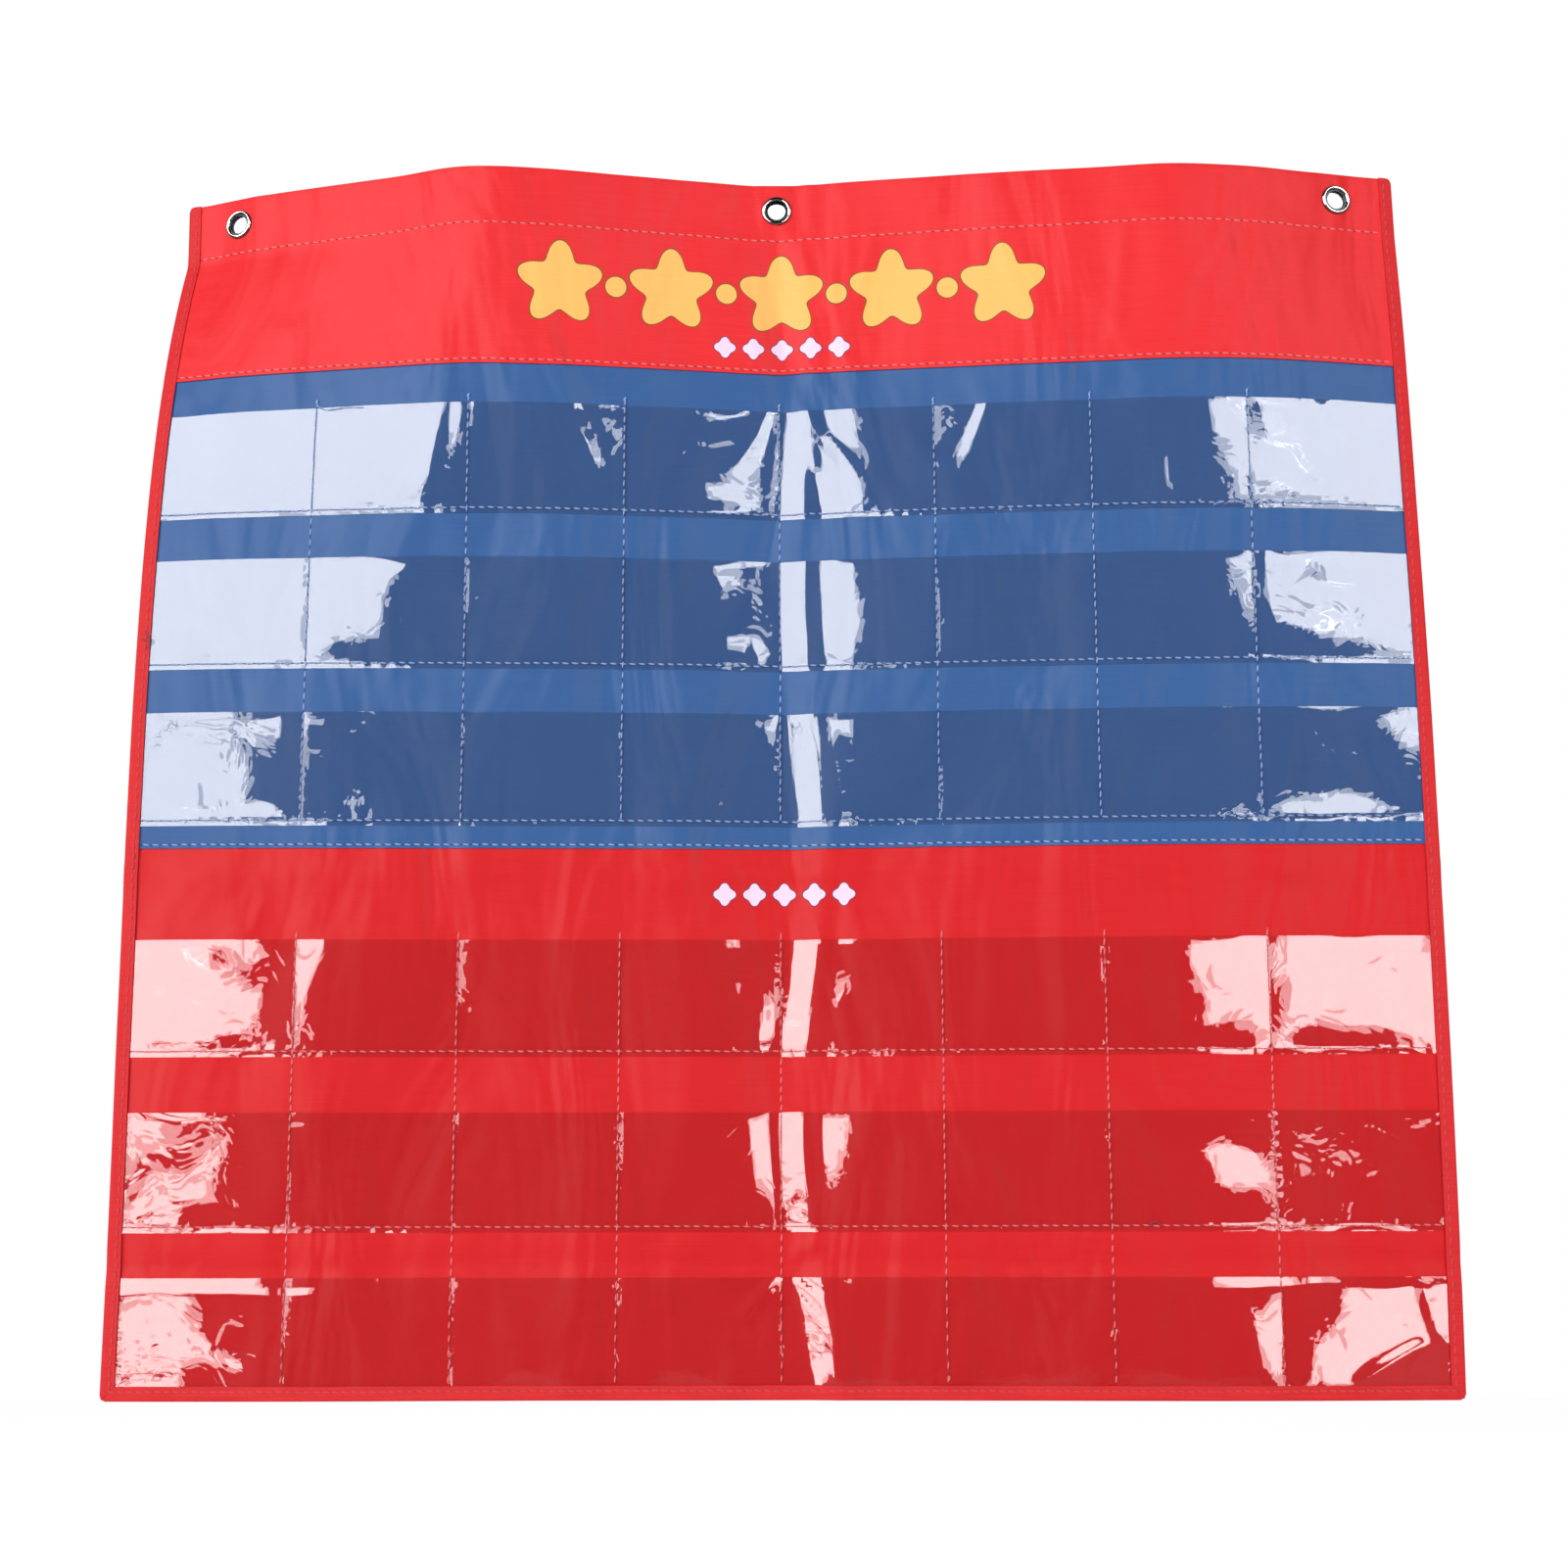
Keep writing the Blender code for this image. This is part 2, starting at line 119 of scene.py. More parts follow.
# Small shapes on top of the folds
# ripples: size, height, seed; creases across: v, depth, reach; creases down the middle: u,
# depth, reach; rays, which run out of a point: u, v, way in degrees with down as 90, length,
# depth, reach
details = {
    "ripples": ((0.16, 0.00035, 3), (0.060, 0.00010, 5)),
    "creases": ((0.3915, 0.0010, 0.015), (0.5985, -0.0011, 0.012)),
    "creaseWander": 0.0012, "wanderSize": 0.25, "wanderSeed": 8,
    "centreCreases": ((0.352, -0.0019, 0.016), (0.3630, 0.0016, 0.0115), (0.3538, 0.0009, 0.0060)),
    "centreLoss": 0.35, "lossStart": 0.10, "lossRun": 0.20,
    "centreSway": 0.010, "swayTurn": 21, "centreLean": 0.006,
    "rays": (
        (0.352, 0.120, 52, 0.085, 0.0006, 0.010), (0.352, 0.120, 74, 0.120, -0.0005, 0.010),
        (0.352, 0.120, 118, 0.060, 0.00045, 0.009), (0.352, 0.121, 160, 0.045, 0.0004, 0.008),
        (0.352, 0.118, -65, 0.050, 0.00035, 0.009), (0.356, 0.030, 60, 0.070, 0.0004, 0.009),
        (0.352, 0.600, 12, 0.060, 0.00045, 0.009), (0.352, 0.600, 48, 0.050, 0.0005, 0.008),
        (0.352, 0.600, 132, 0.050, 0.0005, 0.008), (0.352, 0.600, 168, 0.060, 0.0004, 0.009),
        (0.352, 0.600, -40, 0.045, 0.00045, 0.008), (0.352, 0.600, -140, 0.045, 0.00045, 0.008),
        (0.345, 0.390, 10, 0.055, 0.00045, 0.008), (0.352, 0.390, -28, 0.050, 0.0005, 0.008),
        (0.352, 0.390, 172, 0.070, 0.0004, 0.009), (0.425, 0.384, -24, 0.034, 0.00055, 0.007),
        (0.600, 0.393, 8, 0.050, 0.0004, 0.008), (0.680, 0.638, 150, 0.045, 0.0007, 0.009),
        (0.690, 0.645, -105, 0.040, 0.0006, 0.008), (0.165, 0.125, 100, 0.110, 0.00045, 0.012),
        (0.560, 0.120, 84, 0.150, -0.0005, 0.014), (0.255, 0.295, 80, 0.100, 0.0004, 0.012),
        (0.150, 0.030, 96, 0.060, 0.00045, 0.008), (0.205, 0.030, 82, 0.075, -0.0005, 0.009),
        (0.262, 0.030, 88, 0.030, 0.0004, 0.006), (0.300, 0.031, 70, 0.050, 0.0004, 0.007),
        (0.405, 0.030, 104, 0.060, 0.00045, 0.008), (0.470, 0.030, 86, 0.035, -0.0004, 0.006),
        (0.545, 0.030, 98, 0.080, 0.00055, 0.010), (0.600, 0.032, 120, 0.060, 0.0005, 0.009),
        (0.060, 0.030, 75, 0.050, 0.00045, 0.008), (0.655, 0.024, 112, 0.045, 0.0005, 0.008),
        (0.352, 0.120, 96, 0.100, 0.00045, 0.007), (0.470, 0.123, 110, 0.060, 0.0004, 0.009),
        (0.230, 0.123, 70, 0.070, 0.0004, 0.010), (0.640, 0.124, 65, 0.060, -0.00045, 0.010),
    ),
    "rayStrength": 1.45, "rayEarly": 0.6, "rayStart": 0.55, "raySpread": 0.45,
    "pucker": 0.00007, "puckerPitch": 0.0082, "puckerReach": 0.0030,
    "puckerDrift": 1.7, "driftSize": 0.15, "driftApart": 0.7, "driftSeed": 21,
}


def smoothShare(shares, across):
    shares = np.asarray(shares)
    last = len(shares) - 1
    spot = np.clip(across, 0, 1) * last
    k = np.minimum(spot.astype(int), last - 1)
    t = spot - k
    here, there = shares[k], shares[k + 1]
    rise = (there - shares[np.maximum(k - 1, 0)]) / 2
    leave = (shares[np.minimum(k + 2, last)] - here) / 2
    drop = there - here
    curve = 3 * drop - 2 * rise - leave
    return here + t * rise + t * t * curve + t ** 3 * (rise + leave - 2 * drop)


def smoothStep(x):
    x = np.clip(x, 0, 1)
    return x * x * (3 - 2 * x)


def ripple(u, v, size, seed):
    # even, seeded waviness between about -1 and 1
    waves, shortest, longest = 7, 0.6, 1.5
    draw = random.Random(seed)
    total = np.zeros(np.broadcast(u, v).shape)
    for k in range(waves):
        turn = draw.uniform(0, twoPi)
        pitch = size * draw.uniform(shortest, longest)
        phase = draw.uniform(0, twoPi)
        total = total + np.sin((u * math.cos(turn) + v * math.sin(turn)) * twoPi / pitch + phase)
    return total / math.sqrt(waves)


def waveDepth(u, v):
    # a smooth curve down the chart through the folds of its four levels
    levels = hanging["levels"]
    v = np.clip(v, levels[0], levels[-1])
    depth = 0
    for k, (level, folds) in enumerate(zip(levels, hanging["folds"])):
        share = 1.0
        for other in levels[:k] + levels[k + 1:]:
            share = share * (v - other) / (level - other)
        depth = depth + share * smoothShare(folds, u / width)
    return hanging["depth"] * depth


def padShare(u, v):
    # how far the flat round an eyelet holds, for each of the three
    fade = sewing["padFade"]
    down = 1 - smoothStep((v - eyeletDrop - padHalf) / fade)
    return [(line, down * (1 - smoothStep((abs(u - line) - padHalf + sewing["padIn"]) / fade)))
            for line in eyeletLines]


def baseDepth(u, v):
    depth = waveDepth(u, v)
    for line, share in padShare(u, v):
        low = waveDepth(np.full_like(v, line - padHalf), v)
        high = waveDepth(np.full_like(v, line + padHalf), v)
        chord = low + (high - low) * (u - line + padHalf) / (2 * padHalf)
        depth = depth + share * (chord - depth)
    return depth


def acrossTable():
    # how far out from the middle each flat u comes to hang, row by row
    steepest = 0.1
    steps, rows = hanging["tableSteps"]
    us = np.linspace(0, width, steps)
    table = []
    for v in np.linspace(0, height, rows):
        slope = np.gradient(baseDepth(us, np.full_like(us, v)), us)
        step = np.sqrt(np.maximum(1 - slope * slope, steepest))
        run = np.concatenate([[0], np.cumsum((step[1:] + step[:-1]) / 2 * np.diff(us))])
        table.append(run - run[len(us) // 2])
    return np.array(table)


across = acrossTable()
hungDepth = float(baseDepth(np.array([width / 2]), np.array([0.0]))[0])


def readAcross(u, v):
    rows, columns = across.shape
    a = np.clip(u / width, 0, 1) * (columns - 1)
    b = np.clip(v / height, 0, 1) * (rows - 1)
    i, j = np.minimum(a.astype(int), columns - 2), np.minimum(b.astype(int), rows - 2)
    s, t = a - i, b - j
    upper = across[j, i] * (1 - s) + across[j, i + 1] * s
    lower = across[j + 1, i] * (1 - s) + across[j + 1, i + 1] * s
    return upper * (1 - t) + lower * t + (u - np.clip(u, 0, width))


def tent(distance, reach):
    # a crease: a ridge with a slightly rounded top
    rounding, hollow = 0.09, 1.4
    soft = np.sqrt(distance ** 2 + (rounding * reach) ** 2)
    return np.maximum(1 - soft / reach, 0) ** hollow


def addCreases(depth, u, v):
    # the storage creases across and down the middle
    wander = details["creaseWander"] * ripple(
        u, np.zeros_like(u), details["wanderSize"], details["wanderSeed"])
    for line, deep, reach in details["creases"]:
        depth = depth + deep * tent(v - line - wander, reach)
    loss = smoothStep((v - details["lossStart"]) / details["lossRun"])
    lasting = 1 - details["centreLoss"] * loss
    sway = np.sin(v * details["swayTurn"])
    for line, deep, reach in details["centreCreases"]:
        place = (line + details["centreSway"] * v / height * sway
                 + details["centreLean"] * v / height)
        depth = depth + deep * lasting * tent(u - place, reach)
    return depth


def detailDepth(u, v):
    # creases, ripples and puckers on top of the hanging folds
    depth = np.zeros_like(u)
    for size, tall, seed in details["ripples"]:
        depth = depth + tall * ripple(u, v, size, seed)
    depth = addCreases(depth, u, v)
    for fromU, fromV, way, length, deep, reach in details["rays"]:
        way = math.radians(way)
        out = (u - fromU) * math.cos(way) + (v - fromV) * math.sin(way)
        side = (v - fromV) * math.cos(way) - (u - fromU) * math.sin(way)
        share = np.clip(out / length, 0, 1)
        swell = np.sin(math.pi * share ** details["rayEarly"])
        spread = reach * (details["rayStart"] + details["raySpread"] * share)
        depth = depth + details["rayStrength"] * deep * swell * tent(side, spread)
    for k, line in enumerate(seamHeights):
        near = np.exp(-((v - line) / details["puckerReach"]) ** 2)
        drift = ripple(u, np.full_like(u, k * details["driftApart"]),
                       details["driftSize"], details["driftSeed"] + k)
        phase = drift * details["puckerDrift"]
        wave = np.sin(u * twoPi / details["puckerPitch"] + phase)
        depth = depth + details["pucker"] * near * wave
    hold = np.ones_like(u)
    for line, share in padShare(u, v):
        hold = hold * (1 - share)
    return depth * hold


def roundCorners(u, v):
    reach = sewing["cornerRound"]
    du = np.where(u < width / 2, reach - u, u - (width - reach))
    dv = np.where(v < height / 2, reach - v, v - (height - reach))
    far = np.hypot(np.maximum(du, 0), np.maximum(dv, 0))
    rounded = (du > 0) & (dv > 0) & (far > reach)
    pull = np.where(rounded, 1 - reach / np.maximum(far, 1e-9), 0.0)
    u = u + np.where(u < width / 2, 1, -1) * np.maximum(du, 0) * pull
    v = v + np.where(v < height / 2, 1, -1) * np.maximum(dv, 0) * pull
    return u, v


def packedMiddle(name):
    low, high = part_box(name)
    return (Vector(low) + Vector(high)) / 2


def drawnAcross():
    # how far the cloth is drawn sideways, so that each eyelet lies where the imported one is
    own = readAcross(np.array(eyeletLines), np.full(len(sides), eyeletDrop))
    drawn = np.array([packedMiddle(side + "_eyelet").x for side in sides]) - own
    return drawn - drawn[1]


drawn = drawnAcross()


def hang(u, v, w):
    # where flat points u, v at the layer height w lie on the hanging chart
    u, v, w = (np.asarray(a, dtype=float) for a in np.broadcast_arrays(u, v, w))
    u, v = roundCorners(u, v)
    forward = baseDepth(u, v) + detailDepth(u, v)
    lean = hanging["lean"] * (1 - np.exp(-np.maximum(v, 0) / hanging["leanRun"]))
    x = readAcross(u, v) + np.interp(u, eyeletLines, drawn) + lean
    return np.stack([x, hungDepth - forward - w, eyeletDrop - v], -1)


lift = cloth + gap


def panelLift(v):
    # how far a panel's back stands off, on its way down to the panel that it laps over
    v = np.asarray(v, dtype=float)
    upper = lift * np.clip((v - hemReturn) / (headerFoot - sewing["lap"] - hemReturn), 0, 1)
    blue = lift * np.clip((v - headerFoot) / (blueEnd - sewing["lap"] - headerFoot), 0, 1)
    fall = lift * (1 - smoothStep((v - blueEnd) / sewing["fall"]))
    return np.where(v <= headerFoot, upper, np.where(v <= blueEnd, blue, fall))


# Shader nodes
def feed(tree, value, socket):
    # links another node's output, or sets a plain value
    if isinstance(value, bpy.types.NodeSocket):
        tree.links.new(value, socket)
    else:
        socket.default_value = (*value, 1) if socket.type == "RGBA" else value


def feedAll(tree, node, values):
    for key, value in values.items():
        if isinstance(key, int):
            socket = node.inputs[key]
        else:
            socket = next(s for s in node.inputs if s.name == key and s.enabled)
        feed(tree, value, socket)


def put(tree, kind, values=None, **settings):
    node = tree.nodes.new(kind)
    for key, value in settings.items():
        setattr(node, key, value)
    feedAll(tree, node, values or {})
    return node


def calculate(tree, operation, *values):
    return put(tree, "ShaderNodeMath", dict(enumerate(values)), operation=operation).outputs[0]


def noise(tree, place, scale, detail, rough=0.5, distortion=0.0):
    return put(tree, "ShaderNodeTexNoise", {
        "Vector": place, "Scale": scale, "Detail": detail, "Roughness": rough,
        "Distortion": distortion}).outputs[0]


def scaled(tree, value, low, high, fromLow, fromHigh):
    return put(tree, "ShaderNodeMapRange", {
        "Value": value, "From Min": fromLow, "From Max": fromHigh, "To Min": low,
        "To Max": high}).outputs[0]


def bumped(tree, tall, distance, strength=1.0, under=None):
    values = {"Height": tall, "Distance": distance, "Strength": strength}
    if under is not None:
        values["Normal"] = under
    return put(tree, "ShaderNodeBump", values).outputs[0]


def attribute(tree, name):
    return put(tree, "ShaderNodeAttribute", attribute_name=name).outputs["Fac"]


def mixColour(tree, share, a, b):
    node = put(tree, "ShaderNodeMix", {0: share}, data_type="RGBA")
    colours = [s for s in node.inputs if s.type == "RGBA"]
    for socket, value in zip(colours, (a, b)):
        feed(tree, value, socket)
    return next(s for s in node.outputs if s.type == "RGBA")


def newGroup(name, inputs, outputs):
    # a group that takes the flat place and numbers, and gives numbers
    group = bpy.data.node_groups.new(name, "ShaderNodeTree")
    group.interface.new_socket("Flat", in_out="INPUT", socket_type="NodeSocketVector")
    for ways, labels in (("INPUT", inputs), ("OUTPUT", outputs)):
        for label in labels:
            group.interface.new_socket(label, in_out=ways, socket_type="NodeSocketFloat")
    come = group.nodes.new("NodeGroupInput")
    return group, come.outputs, group.nodes.new("NodeGroupOutput")


weaveLook = {
    "streakScale": (26.0, 950.0, 1.0), "streak": (1.0, 2.0, 0.6), "cloud": (14.0, 3.0, 0.55),
    "foldScale": (17.0, 6.0, 1.0), "foldTurn": 0.16, "fold": (1.0, 3.0, 0.45, 0.6),
    "threadShare": 0.5, "streakShare": 0.8,
}


def makeWeaveGroup():
    # plain weave in flat metres: thread height, long uneven threads across, cloudy shade, folds
    group, come, go = newGroup("nylonWeave", ("Threads",), ("Height", "Streak", "Cloud", "Fold"))
    calc, flat = partial(calculate, group), come["Flat"]
    split = put(group, "ShaderNodeSeparateXYZ", {0: flat})
    turns = calc("MULTIPLY", come["Threads"], math.pi)
    warp, weft = (calc("SINE", calc("MULTIPLY", split.outputs[k], turns)) for k in (0, 1))
    threads = calc("MULTIPLY", calc("MULTIPLY", warp, weft), weaveLook["threadShare"])
    stretched = put(group, "ShaderNodeMapping", {"Vector": flat, "Scale": weaveLook["streakScale"]})
    streak = noise(group, stretched.outputs[0], *weaveLook["streak"])
    turned = put(group, "ShaderNodeMapping", {
        "Vector": flat, "Rotation": (0, 0, weaveLook["foldTurn"]), "Scale": weaveLook["foldScale"]})
    feedAll(group, go, {
        "Height": calc("ADD", threads, calc("MULTIPLY", streak, weaveLook["streakShare"])),
        "Streak": streak,
        "Cloud": noise(group, flat, *weaveLook["cloud"]),
        "Fold": noise(group, turned.outputs[0], *weaveLook["fold"]),
    })
    return group


# A printed row of lobed shapes, in flat metres, and what the other rows have instead
starRow = {
    "Centre U": 0.352, "Centre V": 0.066, "Pitch": 0.062, "Half Count": 2.5, "Radius": 0.0195,
    "Lobes": 5.0, "Depth": 0.24, "Outline": 0.0009, "Tilt": 1.5708, "Shift": 0.0,
}
dotRow = {
    "Half Count": 2.0, "Radius": 0.0058, "Lobes": 0.0, "Depth": 0.0, "Outline": 0.0008,
    "Shift": 0.5,
}
smallRow = {
    "Centre V": 0.0975, "Pitch": 0.0160, "Radius": 0.0052, "Lobes": 4.0, "Depth": 0.16,
    "Outline": 0.0007,
}
lowRow = dict(smallRow, **{"Centre V": 0.4045})
yellowPrint = {"fill": (0.84, 0.455, 0.12), "line": (0.22, 0.07, 0.02)}
palePrint = {"fill": (0.76, 0.60, 0.76), "line": (0.20, 0.03, 0.07)}


def makeMotifGroup():
    # the printed fill of a row and its outline
    group, come, go = newGroup("printedRow", starRow, ("Fill", "Line"))
    calc = partial(calculate, group)
    halfStep, wholeSteps = 0.5, 100      # the whole steps keep what FRACT reads above zero
    split = put(group, "ShaderNodeSeparateXYZ", {0: come["Flat"]})
    steps = calc("DIVIDE", calc("SUBTRACT", split.outputs[0], come["Centre U"]), come["Pitch"])
    inRow = calc("LESS_THAN", calc("ABSOLUTE", steps), come["Half Count"])
    shifted = calc("ADD", calc("ADD", steps, wholeSteps + halfStep), come["Shift"])
    x = calc("MULTIPLY", calc("SUBTRACT", calc("FRACT", shifted), halfStep), come["Pitch"])
    y = calc("SUBTRACT", come["Centre V"], split.outputs[1])
    spread = calc("SQRT", calc("ADD", calc("MULTIPLY", x, x), calc("MULTIPLY", y, y)))
    turn = calc("SUBTRACT", calc("ARCTAN2", y, x), come["Tilt"])
    lobes = calc("COSINE", calc("MULTIPLY", turn, come["Lobes"]))
    edge = calc("ADD", 1.0, calc("MULTIPLY", lobes, come["Depth"]))
    reach = calc("MULTIPLY", edge, come["Radius"])
    limits = (reach, calc("ADD", reach, come["Outline"]))
    inside, outside = (
        calc("MULTIPLY", calc("LESS_THAN", spread, limit), inRow) for limit in limits)
    feedAll(group, go, {"Fill": inside, "Line": calc("SUBTRACT", outside, inside)})
    return group


weaveGroup = makeWeaveGroup()
motifGroup = makeMotifGroup()


# Materials
def newMaterial(name, colour, roughness, **others):
    material = bpy.data.materials.new(name)
    material.use_nodes = True
    material.diffuse_color = (*colour, 1)
    tree = material.node_tree
    shader = tree.nodes["Principled BSDF"]
    feedAll(tree, shader, {"Base Color": colour, "Roughness": roughness})
    feedAll(tree, shader, {key.replace("_", " "): value for key, value in others.items()})
    return material, tree, shader


# What all cloths share. A pair of shares is the span of a noise, low to high, that is stretched
clothLook = {
    "sheenRough": 0.45, "streakSpan": (0.32, 0.68), "cloud": (0.0, 0.5), "cloudSpan": (0.35, 0.7),
    "ink": (0.95, 1.0), "inkSpan": (0.3, 0.6), "roughLess": 0.07, "roughMore": 0.08,
    "roughSpan": (0.3, 0.7), "weaveDepth": 0.00012,
}


def clothMaterial(name, look, rows=()):
    # woven nylon with its streaks, cloudy shade and any printed rows
    material, tree, shader = newMaterial(
        name, look["colour"], look["rough"], Sheen_Weight=look["sheen"],
        Sheen_Tint=look["sheenTint"], Sheen_Roughness=clothLook["sheenRough"],
        Specular_IOR_Level=look["shine"])
    calc = partial(calculate, tree)
    flat = put(tree, "ShaderNodeUVMap", uv_map="flat").outputs[0]
    weave = put(tree, "ShaderNodeGroup", {"Flat": flat, "Threads": look["threads"]},
                node_tree=weaveGroup).outputs
    streaks = scaled(tree, weave["Streak"], 0, 1, *clothLook["streakSpan"])
    clouds = scaled(tree, weave["Cloud"], *clothLook["cloud"], *clothLook["cloudSpan"])
    colour = mixColour(tree, streaks, look["dark"], look["light"])
    colour = mixColour(tree, clouds, colour, look["colour"])
    for row, ink in rows:
        printed = put(tree, "ShaderNodeGroup", {"Flat": flat, **starRow, **row},
                      node_tree=motifGroup).outputs
        worn = scaled(tree, weave["Streak"], *clothLook["ink"], *clothLook["inkSpan"])
        worn = calc("MULTIPLY", attribute(tree, "outer"), worn)
        for part, shape in (("line", "Line"), ("fill", "Fill")):
            colour = mixColour(tree, calc("MULTIPLY", printed[shape], worn), colour, ink[part])
    rough = (look["rough"] - clothLook["roughLess"], look["rough"] + clothLook["roughMore"])
    folds = bumped(tree, weave["Fold"], look["folds"])
    feedAll(tree, shader, {
        "Base Color": colour,
        "Roughness": scaled(tree, weave["Streak"], *rough, *clothLook["roughSpan"]),
        "Normal": bumped(tree, weave["Height"], clothLook["weaveDepth"], look["relief"], folds),
    })
    return material


redLook = {
    "colour": (0.700, 0.0215, 0.0260), "dark": (0.672, 0.0197, 0.0240),
    "light": (0.728, 0.0238, 0.0288), "rough": 0.40, "sheen": 0.03,
    "sheenTint": (1.0, 0.55, 0.5), "shine": 0.18, "threads": 2100.0, "relief": 0.15, "folds": 0.010,
}
lowerLook = dict(redLook, colour=(0.575, 0.0085, 0.0115), dark=(0.557, 0.0078, 0.0106),
                 light=(0.595, 0.0100, 0.0135))
blueLook = dict(redLook, colour=(0.0255, 0.0910, 0.263), dark=(0.0235, 0.0865, 0.252),
                light=(0.0275, 0.0960, 0.274), sheenTint=(0.7, 0.85, 1.0), shine=0.28, folds=0.011)
tapeLook = {
    "colour": (0.60, 0.0150, 0.0190), "dark": (0.52, 0.0115, 0.0150), "light": (0.66, 0.022, 0.027),
    "rough": 0.55, "sheen": 0.06, "sheenTint": (1.0, 0.6, 0.55), "shine": 0.20, "threads": 1500.0,
    "relief": 0.70, "folds": 0.006,
}
vinylLook = {
    "colour": (0.985, 0.975, 0.98), "bend": 1.75, "smear": (55.0, 4.0, 0.6),
    "rough": (0.005, 0.016), "roughSpan": (0.4, 0.7),
    "dent": (46.0, 2.0, 0.5, 0.8), "dentDepth": 0.00012,
    "pucker": (270.0, 0.0), "puckerDepth": 0.00017,
    "spread": (24.0, 1.0), "spreadSpan": (0.47, 0.58), "lit": (0.93, 0.89, 0.89),
}


def makeVinyl():
    # clear soft vinyl. Lamps shine through it, so that the cloth behind stays lit
    material, tree, shader = newMaterial(
        "clearVinyl", vinylLook["colour"], 0.02, Transmission_Weight=1.0, IOR=vinylLook["bend"])
    calc = partial(calculate, tree)
    flat = put(tree, "ShaderNodeUVMap", uv_map="flat").outputs[0]
    smear, dent, pucker, spread = (
        noise(tree, flat, *vinylLook[k]) for k in ("smear", "dent", "pucker", "spread"))
    some = calc("MULTIPLY", attribute(tree, "pinch"),
                scaled(tree, spread, 0.0, 1.0, *vinylLook["spreadSpan"]))
    dents = bumped(tree, dent, vinylLook["dentDepth"])
    puckers = bumped(tree, calc("MULTIPLY", pucker, some), vinylLook["puckerDepth"], under=dents)
    feedAll(tree, shader, {
        "Roughness": scaled(tree, smear, *vinylLook["rough"], *vinylLook["roughSpan"]),
        "Normal": puckers,
    })
    path = put(tree, "ShaderNodeLightPath").outputs
    clear = put(tree, "ShaderNodeBsdfTransparent", {"Color": vinylLook["lit"]})
    passing = calc("MAXIMUM", path["Is Shadow Ray"], path["Is Diffuse Ray"])
    mix = put(tree, "ShaderNodeMixShader", {0: passing, 1: shader.outputs[0], 2: clear.outputs[0]})
    feed(tree, mix.outputs[0], tree.nodes["Material Output"].inputs["Surface"])
    return material


threadLook = {
    # shade is how dark the twist's grooves are painted: painted shade
    "rough": 0.6, "sheen": 0.3, "twist": 900.0, "uneven": 1.5, "shade": 0.7, "relief": 0.5,
    "depth": 0.0001,
    "colours": {
        "redThread": (0.96, 0.165, 0.175), "blueThread": (0.27, 0.43, 0.84),
        # the dark one is the loose strands' own thread and also the painted shade at the blue
        # needle holes; the wine one is only painted shade at the red needle holes
        "darkStrandAndHoleShade": (0.02, 0.04, 0.13), "tapeThread": (0.66, 0.045, 0.05),
        "wineHoleShade": (0.36, 0.012, 0.018),
    },
}


def makeThread(name, colour):
    material, tree, shader = newMaterial(
        name, colour, threadLook["rough"], Sheen_Weight=threadLook["sheen"])
    place = put(tree, "ShaderNodeTexCoord").outputs["Object"]
    twist = put(tree, "ShaderNodeTexWave", {
        "Vector": place, "Scale": threadLook["twist"], "Distortion": threadLook["uneven"],
    }, bands_direction="DIAGONAL").outputs[1]
    # painted shade: the twist's grooves are painted darker, besides being bumped
    shade = tuple(c * threadLook["shade"] for c in colour)
    feedAll(tree, shader, {
        "Base Color": mixColour(tree, twist, shade, colour),
        "Normal": bumped(tree, twist, threadLook["depth"], threadLook["relief"]),
    })
    return material


nickelLook = {
    "colour": (0.80, 0.79, 0.77), "scuff": (420.0, 5.0, 0.7), "rough": (0.04, 0.14),
    "roughSpan": (0.35, 0.75), "plain": (0.74, 0.73, 0.71), "dull": (0.56, 0.54, 0.51),
    "dullSpan": (0.45, 0.8), "creviceShade": (0.05, 0.045, 0.05), "relief": 0.08, "depth": 0.0001,
}


def makeNickel():
    material, tree, shader = newMaterial("polishedNickel", nickelLook["colour"], 0.08, Metallic=1.0)
    place = put(tree, "ShaderNodeTexCoord").outputs["Object"]
    scuff = noise(tree, place, *nickelLook["scuff"])
    dull = scaled(tree, scuff, 0, 1, *nickelLook["dullSpan"])
    plain = mixColour(tree, dull, nickelLook["plain"], nickelLook["dull"])
    feedAll(tree, shader, {
        # painted shade: the marked crevices are painted near-black
        "Base Color": mixColour(tree, attribute(tree, "gap"), plain, nickelLook["creviceShade"]),
        "Roughness": scaled(tree, scuff, *nickelLook["rough"], *nickelLook["roughSpan"]),
        "Normal": bumped(tree, scuff, nickelLook["depth"], nickelLook["relief"]),
    })
    return material


headerCloth = clothMaterial(
    "headerNylon", redLook, (({}, yellowPrint), (dotRow, yellowPrint), (smallRow, palePrint)))
blueCloth = clothMaterial("blueNylon", blueLook)
redCloth = clothMaterial("lowerNylon", lowerLook, ((lowRow, palePrint),))
tapeCloth = clothMaterial("bindingTape", tapeLook)
vinyl = makeVinyl()
threads = {name: makeThread(name, colour) for name, colour in threadLook["colours"].items()}
nickel = makeNickel()
print("stage: materials")


# Bodies
def linked(name, data):
    thing = bpy.data.objects.new(name, data)
    scene.collection.objects.link(thing)
    return thing


def meshOf(bm, name):
    mesh = bpy.data.meshes.new(name)
    bm.to_mesh(mesh)
    bm.free()
    return mesh


def evaluated(thing):
    # a mesh of its own with the modifiers of the object applied
    bpy.context.view_layer.update()
    graph = bpy.context.evaluated_depsgraph_get()
    return bpy.data.meshes.new_from_object(thing.evaluated_get(graph))


def faceOutwards(bm):
    if bm.calc_volume(signed=True) < 0:
        bmesh.ops.reverse_faces(bm, faces=bm.faces)


def addObject(name, mesh, material, replaced=()):
    mesh.materials.clear()
    mesh.materials.append(material)
    piece = linked(name, mesh)
    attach(piece, "root")
    if replaced:
        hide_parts(*replaced)
    return piece


